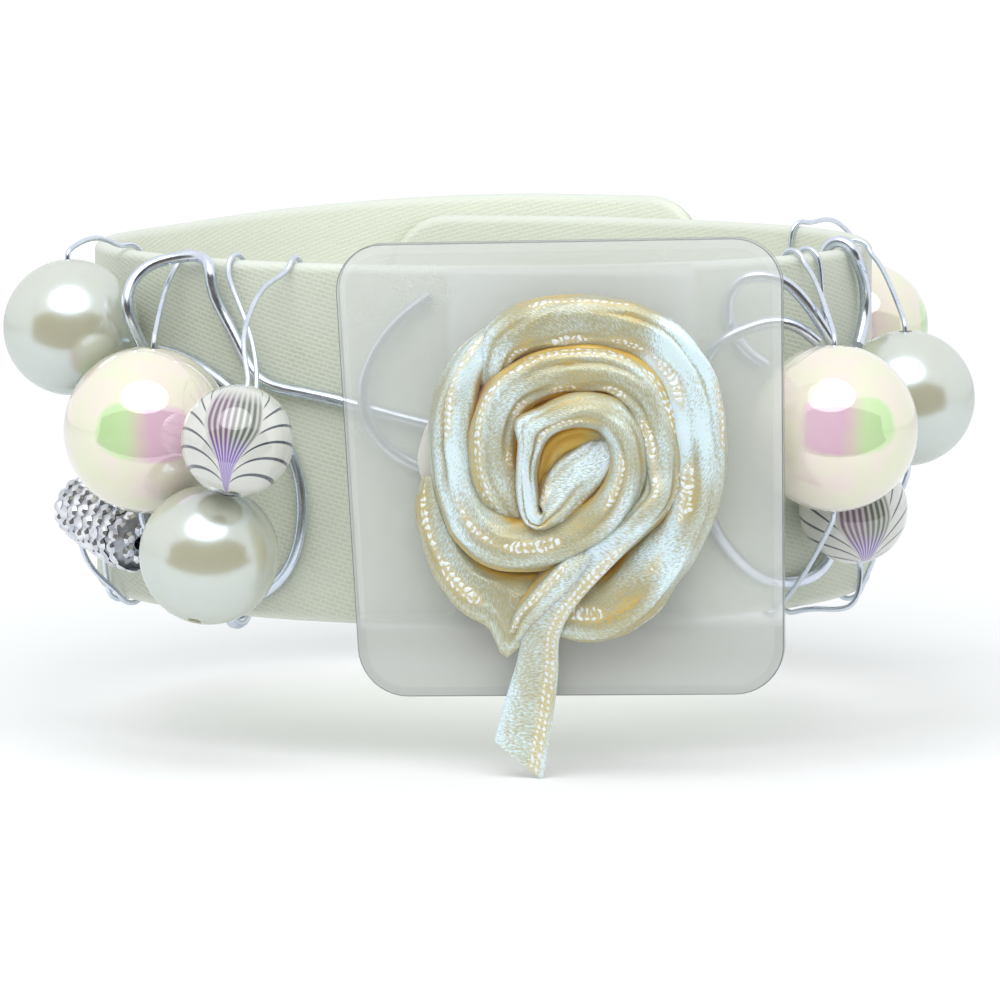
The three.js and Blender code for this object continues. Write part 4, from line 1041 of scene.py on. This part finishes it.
add_ribbon("rose_heart_ribbon", stations(HEART), [(140, 0.18, 8), (40, 0.1, 7), (92, 0.13, 6)],
           twist=-1.3, seed=2, flare=0.5, gleam=(0.9, 1, 0.3, 1.1),
           fold=HEART_FOLD, tucked_start=HEART_TUCKED, open_from=HEART_OPEN)
middle = add_ribbon("rose_middle_ribbon", stations(MIDDLE + TAIL, len(TAIL)),
                    [(130, 0.18, 8), (50, 0.1, 7), (90, 0.15, 6), (165, 0.13, 6)],
                    twist=-1.2, seed=9, flare=0.45, gleam=(0.5, 0.4, 0.6, 0.5))
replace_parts(middle, "rose_heart_and_tail")
add_ribbon("rose_under_ribbon", stations(UNDER), [(120, 0.18, 9), (60, 0.12, 7)],
           twist=-1.2, seed=13, flare=0.3, gleam=(0.4, 0.6))
wrap = add_ribbon("rose_wrap_ribbon", stations(WRAP), [(125, 0.16, 8), (35, 0.1, 7), (82, 0.12, 6)],
                  twist=-1.1, seed=5, flare=0.15, gleam=(0.6, 1.2, 0.15, 0.3),
                  fold=WRAP_FOLD, open_from=0)
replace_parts(wrap, "rose_outer_wrap")

# Wire: bright drawn aluminium, fine through the beads and thicker in the scrolls. Each length is
# bent by hand, and the fine ones hook over the band's edges.
BEAD_WIRE = 0.45 * MM
SCROLL_WIRE = 1.0 * MM
FIT = 0.3 * MM
HEM = 0.8 * MM
HOOK_LEG = 4 * MM
WIRE_STUB = 0.8 * MM
SCUFF_SIZE = 1.2 * MM
PAD_WIDTH = 20.4 * MM
PLATE_X = 7.2 * MM
EDGE = BAND_HEIGHT / 2
LOW = (FIT + SCROLL_WIRE / 2) / MM
drawn, tree, shader = new_material("drawn_aluminium")
place = add_node(tree, "TexCoord").outputs["Object"]
scuffs = add_node(tree, "TexNoise", {"Vector": place, "Scale": 1 / SCUFF_SIZE, "Detail": 3})
bright = add_node(tree, "Mix", {0: scuffs, 6: "#c8d1e4", 7: "#e8effa"}, data_type="RGBA")
worn = add_node(tree, "MapRange", {"Value": scuffs, "To Min": 0.16, "To Max": 0.34})
set_shader(shader, base_color=bright, metallic=1, roughness=worn)


def hook(angle, side, diameter, from_turn=0):
    """The bend of a wire over the band's top (side 1) or bottom edge, from outside the loop to inside."""
    middle = SLEEVE_THICKNESS / 2
    reach = middle + FIT + diameter / 2
    points = []
    for turn in range(from_turn, 181, 45):
        height = EDGE - HEM + reach * math.sin(math.radians(turn))
        points.append(band_point(angle, side * height, reach * math.cos(math.radians(turn)) - middle))
    points.append(band_point(angle, side * (EDGE - HEM - HOOK_LEG), -middle - reach))
    return points


def top_hook(angle, from_turn=0):
    """A bead wire's hook over the top edge, from inside the loop to outside."""
    return hook(angle, 1, BEAD_WIRE, from_turn)[::-1]


def bottom_hook(angle, from_turn=0):
    """A bead wire's hook over the bottom edge, from outside the loop to inside."""
    return hook(angle, -1, BEAD_WIRE, from_turn)


def route(*points):
    """Places by angle on the band, height and distance from its face, the last two in mm."""
    return [band_point(angle, height * MM, standoff * MM) for angle, height, standoff in points]


def bore_run(joint, half_length, open_end=True):
    """The straight run through a bead's bore, with a little to spare, or ended inside the bore."""
    place = bead_place(joint)
    ends = [half_length + WIRE_STUB, half_length + FIT, 0]
    ends += [-half_length - FIT, -half_length - WIRE_STUB] if open_end else [-half_length + FIT]
    return [place @ Vector((0, 0, offset)) for offset in ends]


def beside_bed(side, height):
    """The place on the band's face where a wire's end just clears the bed."""
    across = PLATE_X + side * (PAD_WIDTH / 2 + FIT + SCROLL_WIRE)
    return math.degrees(math.asin(across / (LOOP_WIDTH / 2 + LOW * MM))), height, LOW


def add_wire(name, points, diameter):
    """A round wire bent smoothly through points."""
    curve = bpy.data.curves.new(name, "CURVE")
    curve.dimensions = "3D"
    curve.bevel_depth = diameter / 2
    curve.bevel_resolution = 3
    curve.resolution_u = 8
    curve.use_fill_caps = True
    spline = curve.splines.new("NURBS")
    spline.points.add(len(points) - 1)
    for bend, point in zip(spline.points, points):
        bend.co = (*point, 1)
    spline.order_u = 4
    spline.use_endpoint_u = True
    curve.materials.append(drawn)
    wire = bpy.data.objects.new(name + "_drawn", curve)
    scene.collection.objects.link(wire)
    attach(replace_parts(wire, name), "front")


bead_wires = {
    "pearl_left": top_hook(-66, 45) + route((-64.5, 16.6, 2.6)) + bore_run("pearl_left_spin", PEARL / 2)
    + route((-68, -3, 2)) + bottom_hook(-71),
    "rainbow_left": top_hook(-48.6) + route((-47.8, 13, 2.2)) + bore_run("rainbow_left_spin", GLOBE / 2)
    + route((-44.5, -11, 4)) + bottom_hook(-46),
    "crystal": bottom_hook(-66)[::-1] + route((-69, -12, 3.2)) + bore_run("crystal_spin", CRYSTAL_LENGTH / 2)
    + route((-48, -13, 2.6)) + bottom_hook(-52),
    "pearl_lower": top_hook(-38.6) + route((-35.5, 12.5, 2.1), (-31, 8.5, 3), (-28.5, 3, 5.5))
    + bore_run("pearl_lower_spin", PEARL / 2, False),
    "striped_left": top_hook(-28.2) + route((-29.6, 13.4, 3.4), (-29.2, 11.6, 6), (-28.3, 9.4, 9))
    + bore_run("striped_left_spin", STRIPED / 2, False),
    "pearl_right": top_hook(76) + route((73, 13.4, 2)) + bore_run("pearl_right_spin", PEARL / 2)
    + route((70, -9, 3)) + bottom_hook(72),
    "rainbow_back": top_hook(120, 45) + route((120, 16, 3)) + bore_run("rainbow_back_spin", SMALL_GLOBE / 2)
    + route((120, -8, 2.6)) + bottom_hook(120),
    "striped_right": top_hook(56) + route((56, 10, 0.8), (55.5, 5, 2))
    + bore_run("striped_right_spin", STRIPED / 2) + route((54.6, -15, 5.2), (52.6, -14.8, 2))
    + bottom_hook(52, 45),
    "rainbow_right": top_hook(52) + route((50.5, 13.4, 2.4)) + bore_run("rainbow_right_spin", GLOBE / 2)
    + route((45.6, -12.4, 3.4)) + bottom_hook(47),
}
for name, points in bead_wires.items():
    add_wire("wire_" + name, points, BEAD_WIRE)

scroll_wires = {
    "left": route(
        (-50.3, 7.1, 3.2), (-50, 9.8, 5.1), (-50.4, 11.4, 5.4), (-51.1, 13.2, 4.4), (-50, 14.6, 2.8),
        (-46.9, 15.1, 1.4), (-44, 15.3, 0.8), (-41.6, 15.0, 0.9), (-40.2, 13.8, 1.6), (-40.4, 12.3, 1.2),
        (-39, 10.6, LOW), (-36.6, 8.6, LOW), (-34.6, 6.4, LOW), (-32.6, 5.1, LOW),
        (-29, 4.5, LOW), (-20.8, 4, LOW), (-12.6, 2.6, LOW), beside_bed(-1, 1.9)),
    "left_low": route(
        (-52, 7, LOW), (-45.8, 6.8, LOW), (-38.5, 4.6, LOW), (-32.3, 2.4, LOW), (-28.1, 0.2, LOW),
        (-25.4, -3.8, LOW), (-26.3, -9.3, LOW), (-30.4, -12.3, LOW), (-35, -13.4, LOW))
    + hook(-38.6, -1, SCROLL_WIRE),
    "plate_left": route(
        beside_bed(-1, 12.6), (-11.5, 11, LOW), (-15.4, 7.8, 1.4), (-16.9, 4, 2.1), (-14.6, 0.4, 1.4),
        (-10.4, -1.3, LOW), beside_bed(-1, -1.9)),
    "right_loop": route(
        (47.5, 8.2, 6), (43.6, 13, 4.6), (40, 13.9, 3.6), (37.2, 14, 2.4), (35.6, 12.2, 1),
        (36, 9.8, LOW), (38.8, 7.4, LOW), (43, 6.2, LOW)),
    "right_upper": route(
        beside_bed(1, 7), (33.2, 8.4, 1.7), (36.6, 9.5, 2.7), (41, 10.4, 4.1), (43.2, 9.6, 5.2),
        (45.2, 8.3, 5.8)),
    "right_lower": route(
        beside_bed(1, -5.6), (34, -7.6, LOW), (38.5, -10.5, LOW), (43.7, -12.3, LOW), (50.8, -12.7, LOW),
        (56.8, -12, LOW), (59.8, -10.2, LOW), (60.6, -8.4, LOW)),
    "right_side": hook(66.8, 1, SCROLL_WIRE)[::-1] + route(
        (68.6, 13.2, LOW), (71.4, 11.6, LOW), (71.2, 8.8, LOW), (67.6, 6.8, LOW)),
}
for name, points in scroll_wires.items():
    add_wire("scroll_wire_" + name, points, SCROLL_WIRE)
